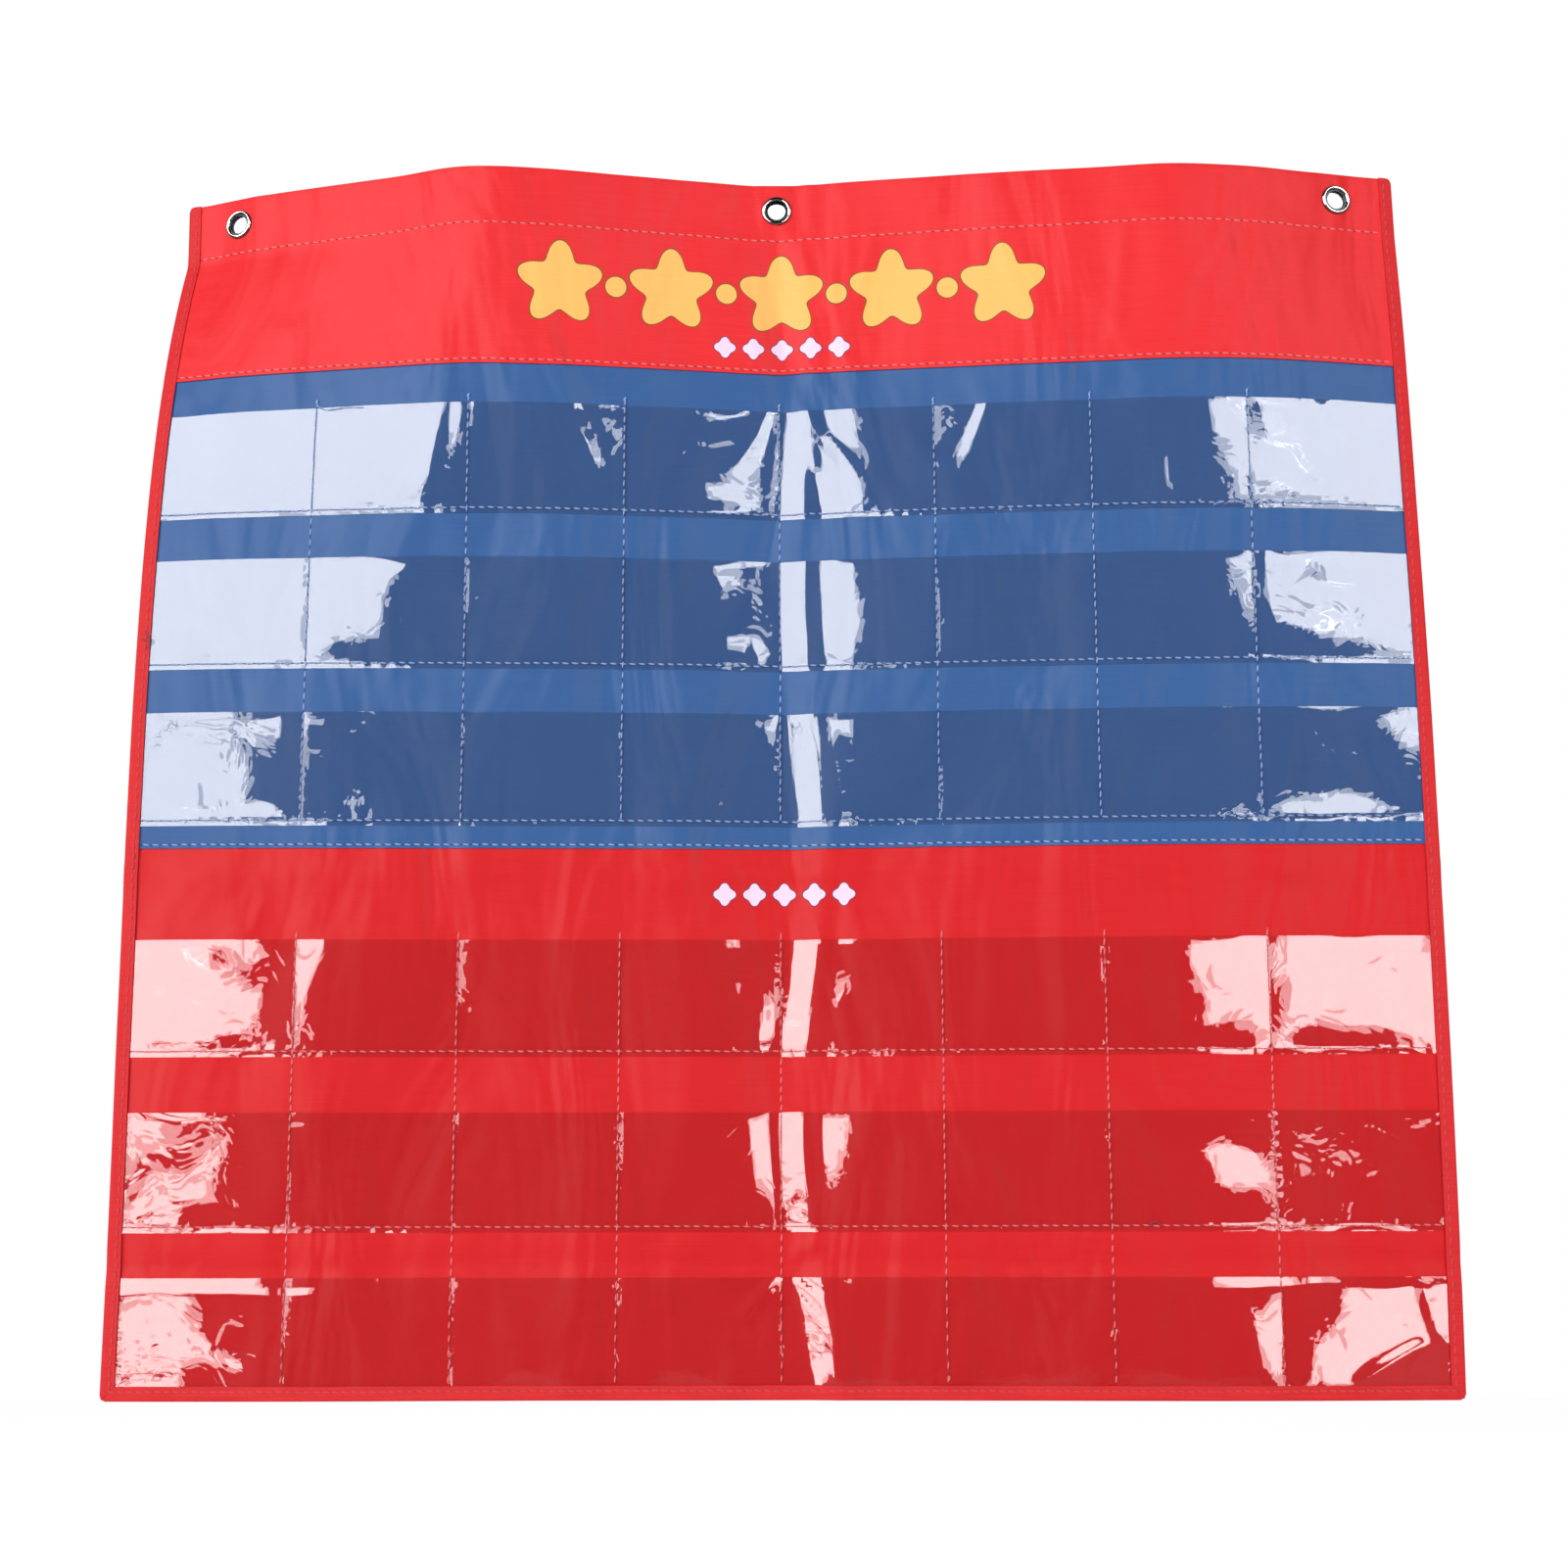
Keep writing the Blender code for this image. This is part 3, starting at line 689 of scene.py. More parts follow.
def layeredMesh(name, columns, rows, spot, marks=None):
    # a grid thickened to a closed body. spot(i, j, outer) gives u, v, w for arrays of corners,
    # and marks holds further attributes as functions of u and v
    bm = bmesh.new()
    bmesh.ops.create_grid(bm, x_segments=columns - 1, y_segments=rows - 1, size=1)
    inner = len(bm.verts)
    bmesh.ops.extrude_face_region(bm, geom=bm.faces[:])
    bm.verts.ensure_lookup_table()
    grid = np.array([vert.co for vert in bm.verts])
    i = np.rint((grid[:, 0] + 1) / 2 * (columns - 1)).astype(int)
    j = np.rint((1 - grid[:, 1]) / 2 * (rows - 1)).astype(int)
    outer = (np.arange(len(grid)) >= inner).astype(float)
    u, v, w = spot(i, j, outer)
    for vert, place in zip(bm.verts, hang(u, v, w)):
        vert.co = place
    bmesh.ops.recalc_face_normals(bm, faces=bm.faces)
    faceOutwards(bm)
    mesh = meshOf(bm, name)
    corners = np.zeros(len(mesh.loops), dtype=np.int32)
    mesh.loops.foreach_get("vertex_index", corners)
    flat = np.stack([u[corners], v[corners]], -1).ravel().astype(np.float32)
    mesh.uv_layers.new(name="flat").data.foreach_set("uv", flat)
    values = {"outer": outer}
    for key, mark in (marks or {}).items():
        values[key] = mark(u, v)
    for key, value in values.items():
        layer = mesh.attributes.new(key, "FLOAT", "POINT")
        layer.data.foreach_set("value", value.astype(np.float32))
    mesh.shade_smooth()
    mesh.set_sharp_from_angle(angle=math.radians(50))
    return mesh


def evenLines(low, high, step):
    return np.linspace(low, high, max(int(round((high - low) / step)), 1) + 1)


def ofSide(table, j, outer):
    # both numbers of row j of a section, for its outer or its inner side
    chosen = np.where(outer[:, None] > 0, table[j, 2:], table[j, :2])
    return chosen[:, 0], chosen[:, 1]


def eyeletPlace(side, line):
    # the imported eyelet's own place, square to the flat cloth under it
    left, right = (Vector(hang(u, eyeletDrop, 0.0)) for u in (line - padHalf, line + padHalf))
    along = (right - left).normalized()
    up = Vector((0, 0, 1))
    centre = (left + right) / 2
    miss = centre - packedMiddle(side + "_eyelet")
    print("eyelet", side, [round(c * 1000, 2) for c in miss], "mm from the packed one")
    turn = Matrix((along, up.cross(along), up)).transposed().to_4x4()
    return Matrix.Translation(centre) @ turn


eyeletPlaces = [eyeletPlace(side, line) for side, line in zip(sides, eyeletLines)]


def cutHoles(piece, radius):
    # cuts the three eyelet holes through the hem
    for place in eyeletPlaces:
        bm = bmesh.new()
        bmesh.ops.create_cone(
            bm, cap_ends=True, segments=48, radius1=radius, radius2=radius, depth=0.010,
            matrix=place @ Matrix.Rotation(math.pi / 2, 4, "X"))
        cutter = linked("holeCutter", meshOf(bm, "holeCutter"))
        cut = piece.modifiers.new("hole", "BOOLEAN")
        cut.operation, cut.solver, cut.object = "DIFFERENCE", "EXACT", cutter
        fresh = evaluated(piece)
        piece.modifiers.clear()
        piece.data = fresh
        bpy.data.objects.remove(cutter, do_unlink=True)


headerLook = {
    "step": 0.0027, "sideHem": 0.0055, "footHem": 0.0085, "hemRise": 0.00018, "stitched": 0.4,
    "foldRadius": 0.00055, "foldInside": 0.6, "foldSteps": 6, "foldRun": 0.0030, "foldFree": 0.004,
    "edgeFade": 0.0012, "returnFade": 0.0015, "hole": 0.0060,
}


def headerSection():
    # the folded hem down its section: v and w inside, v and w outside, from the foot up,
    # over the fold and down the return
    bend, steps = headerLook["foldRadius"], headerLook["foldSteps"]
    front = evenLines(headerLook["foldRun"], headerFoot, headerLook["step"])[::-1]
    path = [(v, panelLift(v), v, panelLift(v) + cloth) for v in front]
    middle = -gap / 2
    for k in range(steps + 1):
        turn = math.pi * k / steps
        inner = (bend - bend * headerLook["foldInside"] * math.sin(turn),
                 middle + gap / 2 * math.cos(turn))
        outer = (bend - bend * math.sin(turn), middle + (gap / 2 + cloth) * math.cos(turn))
        path.append((*inner, *outer))
    for v in evenLines(headerLook["foldRun"], hemReturn, headerLook["step"]):
        path.append((v, -gap, v, -gap - cloth))
    return np.array([[float(x) for x in row] for row in path]), len(front)


def makeHeader():
    # the top panel with its folded-back hem and the three holes
    us = evenLines(sewing["inset"], width - sewing["inset"], headerLook["step"])
    table, frontRows = headerSection()

    def spot(i, j, outer):
        u = us[i]
        v, w = ofSide(table, j, outer)
        free = v > headerLook["foldFree"]
        fromSide = np.minimum(u, width - u) - headerLook["sideHem"]
        doubled = 1 - smoothStep(fromSide / headerLook["edgeFade"])
        hem = 1 - smoothStep((v - hemReturn) / headerLook["returnFade"])
        foot = smoothStep((v - headerFoot + headerLook["footHem"]) / headerLook["edgeFade"])
        upper = np.maximum(doubled * free, hem * headerLook["stitched"] * free)
        w = w + headerLook["hemRise"] * (j < frontRows) * np.maximum(upper, foot)
        return u, v, w

    mesh = layeredMesh("headerCloth", len(us), len(table), spot)
    piece = addObject("headerCloth", mesh, headerCloth, ("header_panel",))
    cutHoles(piece, headerLook["hole"])


panelLook = {"step": 0.0030, "edgeInset": 0.0007}


def makePanel(name, top, bottom, liftAt, material, node):
    us = evenLines(panelLook["edgeInset"], width - panelLook["edgeInset"], panelLook["step"])
    vs = evenLines(top, bottom, panelLook["step"])

    def spot(i, j, outer):
        v = vs[j]
        return us[i], v, liftAt(v) + outer * cloth

    piece = addObject(name, layeredMesh(name, len(us), len(vs), spot), material, (node,))


makeHeader()
makePanel("bluePanelCloth", headerFoot - sewing["lap"], blueEnd,
          lambda v: np.where(v <= headerFoot, 0.0, panelLift(v)),
          blueCloth, "blue_panel")
makePanel("redPanelCloth", blueEnd - sewing["lap"], height - panelLook["edgeInset"],
          np.zeros_like, redCloth, "red_panel")
print("stage: panels")

# Clear strips
# slack: how far each pocket of a strip stands off the cloth, in tenths of a millimetre, and
# slackEnd the same just above its stitching
stripLook = {
    "step": 0.0024, "edgeInset": 0.0012, "rest": 0.00015, "pinch": 0.0014,
    "slack": ((2, 2, 6, 9, 7, 5, 4, 3), (3, 5, 6, 6, 6, 5, 5, 7), (8, 7, 6, 6, 6, 5, 5, 5),
              (6, 6, 6, 6, 6, 5, 7, 7), (8, 6, 6, 6, 6, 5, 5, 6), (8, 6, 6, 6, 6, 5, 8, 8)),
    "slackEnd": ((1, 1, 3, 3, 3, 2, 2, 2), (3, 5, 3, 3, 3, 2, 2, 3), (5, 3, 3, 3, 3, 2, 2, 3),
                 (4, 3, 3, 3, 3, 2, 4, 4), (5, 3, 3, 3, 3, 2, 2, 3), (5, 3, 3, 3, 3, 2, 4, 4)),
    "slackUnit": 1e-4, "archFull": 0.85, "archEnd": 8, "lip": 0.00014, "lipFade": 60,
    "sway": 0.00010, "swaySize": 0.060, "swaySeed": 40,
    "footCurl": 0.00034, "curlMean": 0.75, "curlVaries": 0.6, "curlSize": 0.045, "curlSeed": 60,
    "curlApart": 0.3,
}


def stripHeight(u, v, mouth, number):
    # how far the vinyl stands off the cloth
    place = np.clip((u - binding) / column, 0, sewing["columns"] - 1e-6)
    index = place.astype(int)
    within = np.sin(math.pi * (place - index))
    down = np.clip((v - mouth) / pocket, 0, 1)
    slack, slackEnd = (np.array(stripLook[key][number - 1])[index] * stripLook["slackUnit"]
                       for key in ("slack", "slackEnd"))
    closing = 1 - down ** stripLook["archEnd"]
    arch = (slack + (slackEnd - slack) * down) * within ** stripLook["archFull"] * closing
    uneven = 1 + ripple(u, v, stripLook["swaySize"], stripLook["swaySeed"] + number)
    sway = stripLook["sway"] * uneven * np.minimum(within * 2, 1) * closing
    lip = stripLook["lip"] * np.exp(-down * stripLook["lipFade"]) * within
    if number == len(mouths):        # the last one's foot is held by the tape
        return np.maximum(arch + sway, 0) + lip
    past = np.clip((v - mouth - pocket) / sewing["vinylFoot"], 0, 1)
    varied = ripple(u, np.full_like(u, number * stripLook["curlApart"]), stripLook["curlSize"],
                    stripLook["curlSeed"] + number)
    curl = stripLook["footCurl"] * past * (stripLook["curlMean"] + stripLook["curlVaries"] * varied)
    return np.maximum(arch + sway, 0) + lip + np.maximum(curl, 0)


def makeStrip(number, mouth):
    foot = min(mouth + pocket + sewing["vinylFoot"], height - panelLook["edgeInset"])
    inset = stripLook["edgeInset"]
    lines = np.concatenate([evenLines(inset, width - inset, stripLook["step"]), seams[1:-1]])
    us = np.array(sorted(set(np.round(lines, 6))))
    vs = evenLines(mouth, foot, stripLook["step"])

    def spot(i, j, outer):
        u, v = us[i], vs[j]
        back = panelLift(v) + lift - stripLook["rest"] + stripHeight(u, v, mouth, number)
        return u, v, back + outer * sewing["vinyl"]

    def pinch(u, v):
        # how near the nearest row of stitches is
        aside = np.min(abs(u[:, None] - np.array(seams)[None, :]), axis=1)
        below = abs(v - mouth - pocket)
        return np.maximum(*(np.exp(-(far / stripLook["pinch"]) ** 2) for far in (aside, below)))

    name = "clearStrip" + str(number)
    mesh = layeredMesh(name, len(us), len(vs), spot, {"pinch": pinch})
    piece = addObject(name, mesh, vinyl, ("pocket_strip_" + str(number),))


for number, mouth in enumerate(mouths, 1):
    makeStrip(number, mouth)
print("stage: clear strips")

# Folded binding tape
tapeLay = {
    "step": 0.0030, "width": 0.0075, "bend": 0.0005, "bendSteps": 6, "mitreGap": 0.0001,
    "rise": 0.004, "lines": (0.25, 0.5, 0.75, 1.0),
}


def tapeSection(front, back):
    # the folded tape across its width: rows of (inset, height) inside and outside
    wide, bend, steps = tapeLay["width"], tapeLay["bend"], tapeLay["bendSteps"]
    rows = [(wide * s, back, wide * s, back - cloth) for s in tapeLay["lines"][::-1]]
    middle, half = (front + back) / 2, (front - back) / 2
    for k in range(steps + 1):
        turn = math.pi * k / steps
        rows.append((cloth + bend * (1 - math.sin(turn)), middle - half * np.cos(turn),
                     bend * (1 - math.sin(turn)), middle - (half + cloth) * np.cos(turn)))
    return rows + [(wide * s, front, wide * s, front + cloth) for s in tapeLay["lines"]]


def tapeFront(v):
    # inside of the tape's front layer, over the header or over the strips
    over = smoothStep((v - headerFoot) / tapeLay["rise"])
    return panelLift(v) + lift + over * (sewing["vinyl"] + gap)


def tapeBack(v):
    # inside of its back layer, under the hem or under the panels
    hem = 1 - smoothStep((v - hemReturn) / tapeLay["rise"])
    return -gap - hem * (cloth + gap)


def makeSideTape(name, atRight, node):
    vs = evenLines(0.0, height, tapeLay["step"])
    count = len(tapeSection(0.0, 0.0))

    def spot(i, j, outer):
        v = vs[j]
        inset, w = np.zeros_like(v), np.zeros_like(v)
        for k, (insetIn, wIn, insetOut, wOut) in enumerate(tapeSection(tapeFront(v), tapeBack(v))):
            here = i == k
            inset = np.where(here, np.where(outer > 0, insetOut, insetIn), inset)
            w = np.where(here, np.where(outer > 0, wOut, wIn), w)
        v = np.minimum(v, height - inset - tapeLay["mitreGap"])
        return width - inset if atRight else inset, v, w

    piece = addObject(name, layeredMesh(name, count, len(vs), spot), tapeCloth, (node,))


def makeBottomTape():
    us = evenLines(0.0, width, tapeLay["step"])
    table = np.array(tapeSection(float(tapeFront(height)), -gap))

    def spot(i, j, outer):
        rise, w = ofSide(table, j, outer)
        side = rise + tapeLay["mitreGap"]
        return np.clip(us[i], side, width - rise - tapeLay["mitreGap"]), height - rise, w

    mesh = layeredMesh("bottomTape", len(us), len(table), spot)
    piece = addObject("bottomTape", mesh, tapeCloth, ("bottom_binding",))


makeSideTape("leftTape", False, "left_binding")
makeSideTape("rightTape", True, "right_binding")
makeBottomTape()
print("stage: binding")

# Stitching. length 0 fills the step from one point of the row to the next
stitchLay = {
    "pitch": 0.0048, "length": 0.0037, "thick": 0.00050, "jitter": 0.00016, "slant": 0.10,
    "shift": 0.0,
}
# short dark marks half a step along from each stitch: painted shade at the needle holes
holeShadeLay = dict(stitchLay, length=0.0016, thick=0.00040, jitter=0.00010, slant=0.0, shift=0.5)
strandLay = dict(stitchLay, pitch=0.004, length=0, thick=0.00026, jitter=0.0, slant=0.0)
knotLay = dict(stitchLay, pitch=1.0, length=0.0022, thick=0.00062, jitter=0.0, slant=0.6)


def stitchRow(points, lay):
    # ends of the stitches along a line of flat points (u, v, w)
    draw = random.Random(len(points))
    flat = []
    for (u0, v0, w0), (u1, v1, w1) in zip(points[:-1], points[1:]):
        run = math.hypot(u1 - u0, v1 - v0)
        count = max(int(run / lay["pitch"]), 1)
        share = (np.arange(count) + 0.5 - lay["shift"]) / count
        jitter = np.array([draw.uniform(-1, 1) * lay["jitter"] for k in range(count)])
        du, dv = (u1 - u0) / run, (v1 - v0) / run
        u = u0 + (u1 - u0) * share - dv * jitter
        v = v0 + (v1 - v0) * share + du * jitter
        w = w0 + (w1 - w0) * share
        half = (lay["length"] or run / count) / 2
        du, dv = du - dv * lay["slant"], dv + du * lay["slant"]
        ends = [u - du * half, v - dv * half, w, u + du * half, v + dv * half, w]
        flat.append(np.stack(ends, -1))
    return np.concatenate(flat)


def spindleCopies(count):
    # one small spindle, repeated by an array with no offset
    bm = bmesh.new()
    bmesh.ops.create_uvsphere(bm, u_segments=6, v_segments=4, radius=1)
    mesh = meshOf(bm, "spindle")
    seed = linked("spindle", mesh)
    array = seed.modifiers.new("copies", "ARRAY")
    array.use_relative_offset = False
    array.count = count
    copies = evaluated(seed)
    shape = np.array([vert.co for vert in mesh.vertices])
    bpy.data.objects.remove(seed, do_unlink=True)
    return copies, shape


def stitchPiece(name, rows, thread, lay=stitchLay):
    flat = np.concatenate([stitchRow(row, lay) for row in rows])
    first, second = hang(*flat[:, :3].T), hang(*flat[:, 3:].T)
    mesh, shape = spindleCopies(len(flat))
    along = (second - first) / 2
    way = along / np.linalg.norm(along, axis=1, keepdims=True)
    side = np.cross(way, (0, 1, 0))
    side /= np.linalg.norm(side, axis=1, keepdims=True)
    out = np.cross(side, way)
    middle, thick = (first + second) / 2, lay["thick"]
    corners = (middle[:, None] + shape[None, :, 2:3] * along[:, None]
               + thick * (shape[None, :, 0:1] * side[:, None] + shape[None, :, 1:2] * out[:, None]))
    mesh.vertices.foreach_set("co", corners.ravel().astype(np.float32))
    mesh.update()
    mesh.name = name
    bm = bmesh.new()
    bm.from_mesh(mesh)
    faceOutwards(bm)
    bm.to_mesh(mesh)
    bm.free()
    mesh.shade_smooth()
    addObject(name, mesh, threads[thread])


# Where the rows run: how far each lies from the edge it follows, and how high on its cloth
rowLay = {
    "onCloth": 0.00010, "onVinyl": 0.00008, "onBack": 0.00006, "sideInset": 0.001,
    "headerFoot": 0.0022, "blueFoot": 0.0020, "seamStart": 0.0035, "tapeFoot": 0.0026,
    "tapeSide": 0.0024, "tapeTop": 0.003, "tapeEnd": 0.006, "underTape": 0.004,
}
acrossSteps, tapeSteps, clothSteps, vinylSteps = 12, 30, 2, 4
clothFront = cloth + rowLay["onCloth"]
vinylFront = lift + sewing["vinyl"] + rowLay["onVinyl"]
headerRow = headerFoot - rowLay["headerFoot"]
tapeRow = height - tapeLay["width"] + rowLay["tapeFoot"]
sideRows = (tapeLay["width"] - rowLay["tapeSide"], width - tapeLay["width"] + rowLay["tapeSide"])
blueStart, redStart = (tops[0] - rowLay["seamStart"] for tops in (blueTops, redTops))
blueStop, redStop = blueTops[-1] + pocket, height - tapeLay["width"]


def acrossRow(v, w, low=binding + rowLay["sideInset"]):
    run = width - low - low
    return [(low + run * k / acrossSteps, v, float(w)) for k in range(acrossSteps + 1)]


def downRow(u, low, high, w, steps=6):
    heights = [low + (high - low) * k / steps for k in range(steps + 1)]
    return [(u, v, float(w(v))) for v in heights]


def seamDown(u, low, high, tops):
    # a row of stitches down a seam, stepping over the strips and the bare cloth between
    rows, line = [], low
    for top in tops:
        foot = min(top + pocket + sewing["vinylFoot"], high)
        rows.append(downRow(u, line, top, lambda v: panelLift(v) + clothFront, clothSteps))
        rows.append(downRow(u, top, foot, lambda v: panelLift(v) + vinylFront, vinylSteps))
        line = foot
    return rows


def feet(tops, w):
    return [acrossRow(top + pocket, w(top + pocket)) for top in tops]


headerRows = [
    acrossRow(sewing["hemStitch"], clothFront + headerLook["hemRise"] * headerLook["stitched"]),
    acrossRow(headerRow, panelLift(headerFoot) + clothFront + headerLook["hemRise"]),
]
blueFootRow = blueEnd - rowLay["blueFoot"]
blueRows = feet(blueTops, lambda v: panelLift(v) + vinylFront)
blueRows.append(acrossRow(blueFootRow, panelLift(blueFootRow) + clothFront))
redRows = feet(redTops[:-1], lambda v: vinylFront)
for u in seams[1:-1]:
    blueRows += seamDown(u, blueStart, blueStop, blueTops)
    redRows += seamDown(u, redStart, redStop, redTops)
tapeRows = [acrossRow(tapeRow, float(tapeFront(height)) + clothFront, rowLay["underTape"])]
for u in sideRows:
    tapeRows.append(downRow(u, rowLay["tapeTop"], height - rowLay["tapeEnd"],
                            lambda v: tapeFront(v) + clothFront, tapeSteps))

# Knots and loose ends, as steps from a place: u, v, and w from the back of the cloth
firstTop, secondFoot, fifthFoot = blueTops[0], blueTops[1] + pocket, redTops[1] + pocket
knotRun, knotHeight = (0.0050, 0.0025), 0.0013
tailRun = ((0, -0.0010, 0.0016), (0.006, 0.0018, 0.0020), (0.016, 0.0006, 0.0018),
           (0.027, 0.0012, 0.0016))
looseRun = ((0.018, 0.0004, 0.0015), (0.022, -0.0024, 0.0020), (0.025, -0.0008, 0.0017))
tuftRoot = (0.0088, -0.014, 0.0024)
tuftRuns = (
    (tuftRoot, (0.0062, -0.0165, 0.0032), (0.0042, -0.0195, 0.0036)),
    (tuftRoot, (0.0058, -0.0135, 0.0034), (0.0030, -0.0145, 0.0036)),
    (tuftRoot, (0.0066, -0.0110, 0.0032), (0.0052, -0.0085, 0.0034)),
)


def placed(steps, u, v):
    return [(u + du, v + dv, w) for du, dv, w in steps]


knots = [[(u, firstTop - up, knotHeight) for up in knotRun] for u in seams[1:-1]]
strands = [placed(run, 0, secondFoot) for run in tuftRuns]
strands.append(placed(looseRun, seams[6], fifthFoot))
tail = [placed(tailRun, seams[1], firstTop)]

stitchPiece("headerStitches", headerRows, "redThread")
stitchPiece("blueStitches", blueRows, "blueThread")
# painted shade: dark marks at the needle holes of the blue rows
stitchPiece("blueNeedleHoleShade", blueRows, "darkStrandAndHoleShade", holeShadeLay)
stitchPiece("blueKnots", knots, "blueThread", knotLay)
stitchPiece("looseStrands", strands, "darkStrandAndHoleShade", strandLay)
stitchPiece("threadTail", tail, "blueThread", strandLay)
stitchPiece("redStitches", redRows, "redThread")
# painted shade: dark wine marks at the needle holes of the red and header rows
stitchPiece("redNeedleHoleShade", redRows + headerRows, "wineHoleShade", holeShadeLay)
stitchPiece("tapeStitches", tapeRows, "tapeThread")
print("stage: front stitches")

panelBack, hemBack = -rowLay["onBack"], -gap - cloth - rowLay["onBack"]
backRed = [acrossRow(sewing["hemStitch"], hemBack),
           acrossRow(tapeRow, hemBack, rowLay["underTape"])]
backRed += feet(redTops[:-1], lambda v: panelBack)
backRed.append(acrossRow(headerRow, panelBack))
backBlue = feet(blueTops, lambda v: panelLift(v) + panelBack)
for u in seams[1:-1]:
    backBlue.append(downRow(u, blueStart, blueStop, lambda v: panelLift(v) + panelBack))
    backRed.append(downRow(u, redStart, redStop, lambda v: panelBack))
for u in sideRows:
    backRed.append(downRow(u, rowLay["tapeTop"], height - rowLay["tapeEnd"],
                           lambda v: tapeBack(v) - clothFront, tapeSteps))
stitchPiece("backRedStitches", backRed, "redThread")
stitchPiece("backBlueStitches", backBlue, "blueThread")
print("stage: back stitches")

# Eyelets and washers, as outlines of (radius, distance in front of the cloth's back)
eyeletLook = {
    "bore": 0.0050, "wall": 0.00035, "rim": 0.0085, "seat": 0.0007, "tall": 0.0013,
    "undercut": (0.0002, 0.0001), "domeInset": 0.0006, "domeSteps": 12,
    "throat": ((0.00045, 0.0002), (0.0002, 0.00035), (0.0, 0.0006)),
    "lipFront": -0.00175, "lipDeep": 0.0006, "lipOut": 0.0011, "lipSteps": 8,
    # the outline points whose crevices get painted shade
    "shadedCrevices": (0, 1, 2, 3, 13, 14, 15, 16, 17),
}
washerLook = {
    "inner": 0.00565, "outer": 0.0084, "front": -0.0010, "plate": -0.00145, "crown": -0.00245,
    "round": 0.0005, "roundSteps": 5,
    "inside": ((0.0070, 0.0), (0.00685, 0.00012)), "shelf": ((0.00675, -0.0001), (0.00665, 0.0)),
}
turnedSteps = 72


def eyeletOutline():
    # rounded flange, step down to the bore, barrel, and the rolled lip behind
    bore, rim, seat = (eyeletLook[k] for k in ("bore", "rim", "seat"))
    barrel = bore + eyeletLook["wall"]
    under, below = eyeletLook["undercut"]
    points = [(barrel, seat), (rim - under, seat - below)]
    inset, steps = eyeletLook["domeInset"], eyeletLook["domeSteps"]
    middle, half = (rim + barrel + inset) / 2, (rim - barrel - inset) / 2
    for k in range(steps + 1):
        turn = math.pi * k / steps
        points.append((middle + half * math.cos(turn), seat + eyeletLook["tall"] * math.sin(turn)))
    for start, (out, low) in zip((barrel, bore, bore), eyeletLook["throat"]):
        points.append((start + out, seat - low))
    front, lipOut = eyeletLook["lipFront"], barrel + eyeletLook["lipOut"]
    steps = eyeletLook["lipSteps"]
    points.append((bore, front))
    for k in range(1, steps):
        turn = math.pi * k / steps
        points.append(((bore + lipOut) / 2 - (lipOut - bore) / 2 * math.cos(turn),
                       front - eyeletLook["lipDeep"] * math.sin(turn)))
    return points + [(lipOut, front), (barrel, front)]


def washerOutline():
    inner, outer, front, plate, crown = (
        washerLook[k] for k in ("inner", "outer", "front", "plate", "crown"))
    bend, steps = washerLook["round"], washerLook["roundSteps"]
    points = [(inner, front), (outer, front)]
    for k in range(steps + 1):
        turn = math.pi / 2 * k / steps
        points.append((outer - bend + bend * math.cos(turn), crown + bend - bend * math.sin(turn)))
    points += [(radius, crown + rise) for radius, rise in washerLook["inside"]]
    points += [(radius, plate + rise) for radius, rise in washerLook["shelf"]]
    return points + [(inner, plate)]


def turnedPiece(name, outline, place, node, shadedCrevices=()):
    # an outline turned about the eyelet's axis. Its crevices are painted near-black by the nickel's
    # look: painted shade where the flange meets the cloth and down the throat
    bm = bmesh.new()
    # this layer marks where the nickel paints shade into its crevices
    dark = bm.verts.layers.float.new("gap")
    verts = [bm.verts.new((radius, -tall, 0)) for radius, tall in outline]
    for k in shadedCrevices:
        verts[k][dark] = 1.0
    edges = [bm.edges.new((verts[k - 1], verts[k])) for k in range(len(verts))]
    bmesh.ops.spin(bm, geom=verts + edges, cent=(0, 0, 0), axis=(0, 1, 0), angle=twoPi,
                   steps=turnedSteps, use_merge=True)
    bmesh.ops.transform(bm, matrix=place, verts=bm.verts)
    bmesh.ops.recalc_face_normals(bm, faces=bm.faces)
    faceOutwards(bm)
    mesh = meshOf(bm, name)
    mesh.shade_smooth()
    mesh.set_sharp_from_angle(angle=math.radians(40))
    addObject(name, mesh, nickel, (node,))


for side, place in zip(sides, eyeletPlaces):
    turnedPiece(side + "EyeletShell", eyeletOutline(), place, side + "_eyelet",
                eyeletLook["shadedCrevices"])
    turnedPiece(side + "EyeletWasher", washerOutline(), place, side + "_washer")
print("stage: eyelets")

# Camera: low, near the chart's foot, looking slightly up. pixels is its focal length on the
# photograph's own width
cameraLook = {
    "place": (0.010, -1.2550, -0.5629), "up": 10.56, "left": -0.28, "roll": -0.11,
    "pixels": 2416.0, "photoWidth": 1601, "sensor": 36.0,
}


def makeCamera():
    up, left, roll = (math.radians(cameraLook[k]) for k in ("up", "left", "roll"))
    forward = Vector((math.sin(left) * math.cos(up), math.cos(left) * math.cos(up), math.sin(up)))
    level = Vector((math.cos(left), -math.sin(left), 0))
    above = level.cross(forward)
    rightward = level * math.cos(roll) + above * math.sin(roll)
    upward = above * math.cos(roll) - level * math.sin(roll)
    turn = Matrix((rightward, upward, -forward)).transposed().to_4x4()
    data = bpy.data.cameras.new("photoCamera")
    data.sensor_width = cameraLook["sensor"]
    data.lens = cameraLook["pixels"] / cameraLook["photoWidth"] * cameraLook["sensor"]
    camera = linked("photoCamera", data)
    camera.matrix_world = Matrix.Translation(cameraLook["place"]) @ turn
    scene.camera = camera


makeCamera()

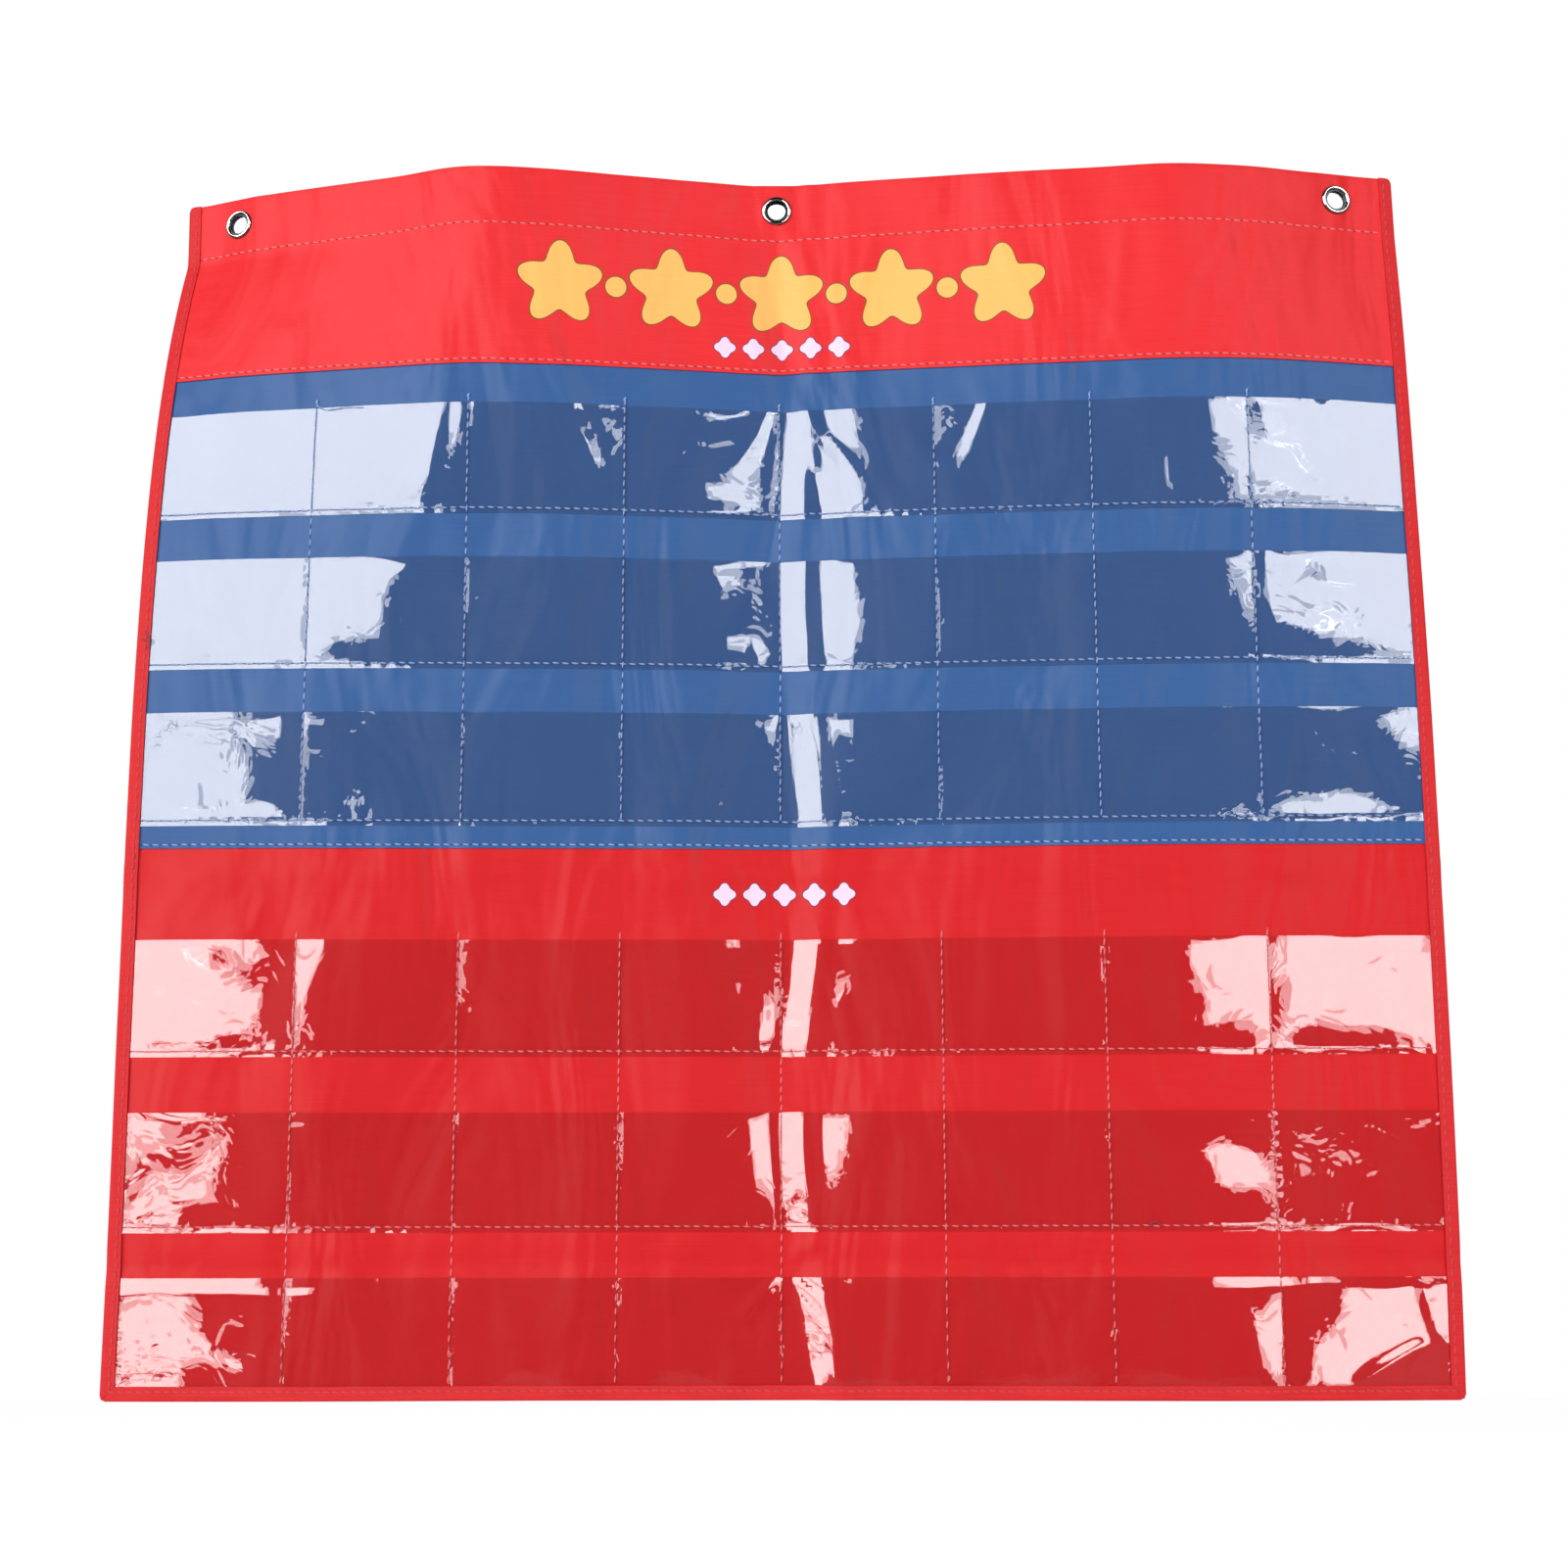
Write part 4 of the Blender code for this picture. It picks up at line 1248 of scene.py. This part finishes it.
# Light: soft boxes in front, left and right, each side cut into steps, so that the patches they
# leave in the vinyl differ from row to row, one behind the chart, and an even dim surround.
# Degrees are as seen from the chart: round to the right of straight ahead, and up.
lightLook = {
    "distance": 6.0,
    "middle": (0.0, 0.0, -0.30),
    "boxes": (
        ("leftUpperBox", (-60.0, -12.5), (11.5, 36.0), 4.6),
        ("leftMiddleBox", (-60.0, -18.5), (4.8, 11.5), 4.6),
        ("leftLowerBox", (-60.0, -12.5), (-1.5, 4.8), 4.6),
        ("leftShelfBox", (-60.0, -17.2), (-3.1, -1.5), 4.6),
        ("leftStepBox", (-60.0, -16.5), (-6.1, -4.2), 4.6),
        ("leftFootBox", (-60.0, -19.5), (-12.0, -6.7), 4.6),
        ("rightTopBox", (21.5, 48.0), (16.0, 30.0), 4.6),
        ("rightUpperBox", (14.5, 48.0), (12.8, 16.0), 4.6),
        ("rightStepBox", (20.5, 28.5), (11.6, 12.8), 4.6),
        ("rightMiddleBox", (12.0, 45.0), (-0.5, 5.5), 4.6),
        ("rightLowerBox", (18.0, 45.0), (-12.0, -4.5), 4.6),
        ("backSoftBox", (148.0, 212.0), (-2.0, 38.0), 3.0),
    ),
    "surround": 0.10,       # on the cloth from all sides
    "wall": 0.30,           # what gloss shows of the wall behind
    "room": 0.012,          # what gloss shows of the room in front
}


def makeSoftBox(name, around, up, bright):
    left, right = (math.radians(a) for a in around)
    low, high = (math.radians(a) for a in up)
    turn, rise = (left + right) / 2, (low + high) / 2
    far = lightLook["distance"]
    level = math.cos(rise)
    toward = Vector((math.sin(turn) * level, -math.cos(turn) * level, math.sin(rise)))
    data = bpy.data.lights.new(name, "AREA")
    data.shape = "RECTANGLE"
    data.size = 2 * far * math.tan((right - left) / 2)
    data.size_y = 2 * far * math.tan((high - low) / 2)
    data.energy = bright * math.pi * data.size * data.size_y
    lamp = linked(name, data)
    lamp.matrix_world = (Matrix.Translation(Vector(lightLook["middle"]) + toward * far)
                         @ toward.to_track_quat("Z", "Y").to_matrix().to_4x4())


for box in lightLook["boxes"]:
    makeSoftBox(*box)


def makeSurround():
    # white wherever the camera looks and behind the chart, dim in front for gloss and clear vinyl
    world = bpy.data.worlds.new("surround")
    scene.world = world
    world.use_nodes = True
    sky = world.node_tree
    calc = partial(calculate, sky)
    path = put(sky, "ShaderNodeLightPath").outputs
    glossy, through = path["Is Glossy Ray"], path["Is Transmission Ray"]
    way = put(sky, "ShaderNodeTexCoord").outputs["Generated"]
    behind = calc("GREATER_THAN", put(sky, "ShaderNodeSeparateXYZ", {0: way}).outputs[1], 0.0)
    dull = calc("MULTIPLY", calc("MULTIPLY", glossy, behind), lightLook["wall"])
    seen = calc("MAXIMUM", path["Is Camera Ray"], calc("MULTIPLY", through, behind))
    shiny = calc("MAXIMUM", glossy, through)
    level = scaled(sky, shiny, lightLook["surround"], lightLook["room"], 0, 1)
    feedAll(sky, sky.nodes["Background"], {
        "Color": (1, 1, 1), "Strength": calc("MAXIMUM", level, calc("MAXIMUM", seen, dull))})


makeSurround()

floorLook = {
    "below": 0.56, "size": 6.0, "back": 2.0, "colour": 0.93, "rough": 0.9, "white": 0.85,
    "mirrored": 0.10,
}


def makeFloor():
    # a pale floor that keeps the chart's shadow and is dim in mirrors
    bm = bmesh.new()
    bmesh.ops.create_grid(bm, x_segments=1, y_segments=1, size=floorLook["size"])
    bmesh.ops.translate(
        bm, verts=bm.verts, vec=(0, floorLook["back"], cadBox[0][2] - floorLook["below"]))
    mesh = meshOf(bm, "paleFloor")
    colour = (floorLook["colour"],) * 3
    material, tree, shader = newMaterial("paleFloor", colour, floorLook["rough"])
    calc = partial(calculate, tree)
    path = put(tree, "ShaderNodeLightPath").outputs
    seen = calc("MAXIMUM", path["Is Camera Ray"], path["Is Transmission Ray"])
    glow = put(tree, "ShaderNodeEmission", {"Strength": calc("MULTIPLY", seen, floorLook["white"])})
    both = put(tree, "ShaderNodeAddShader", {0: shader.outputs[0], 1: glow.outputs[0]})
    dim = put(tree, "ShaderNodeEmission", {"Strength": floorLook["mirrored"]})
    last = put(tree, "ShaderNodeMixShader", {
        0: path["Is Glossy Ray"], 1: both.outputs[0], 2: dim.outputs[0]})
    feed(tree, last.outputs[0], tree.nodes["Material Output"].inputs["Surface"])
    mesh.materials.append(material)
    floor = linked("paleFloor", mesh)


makeFloor()
print("stage: camera, light and floor")
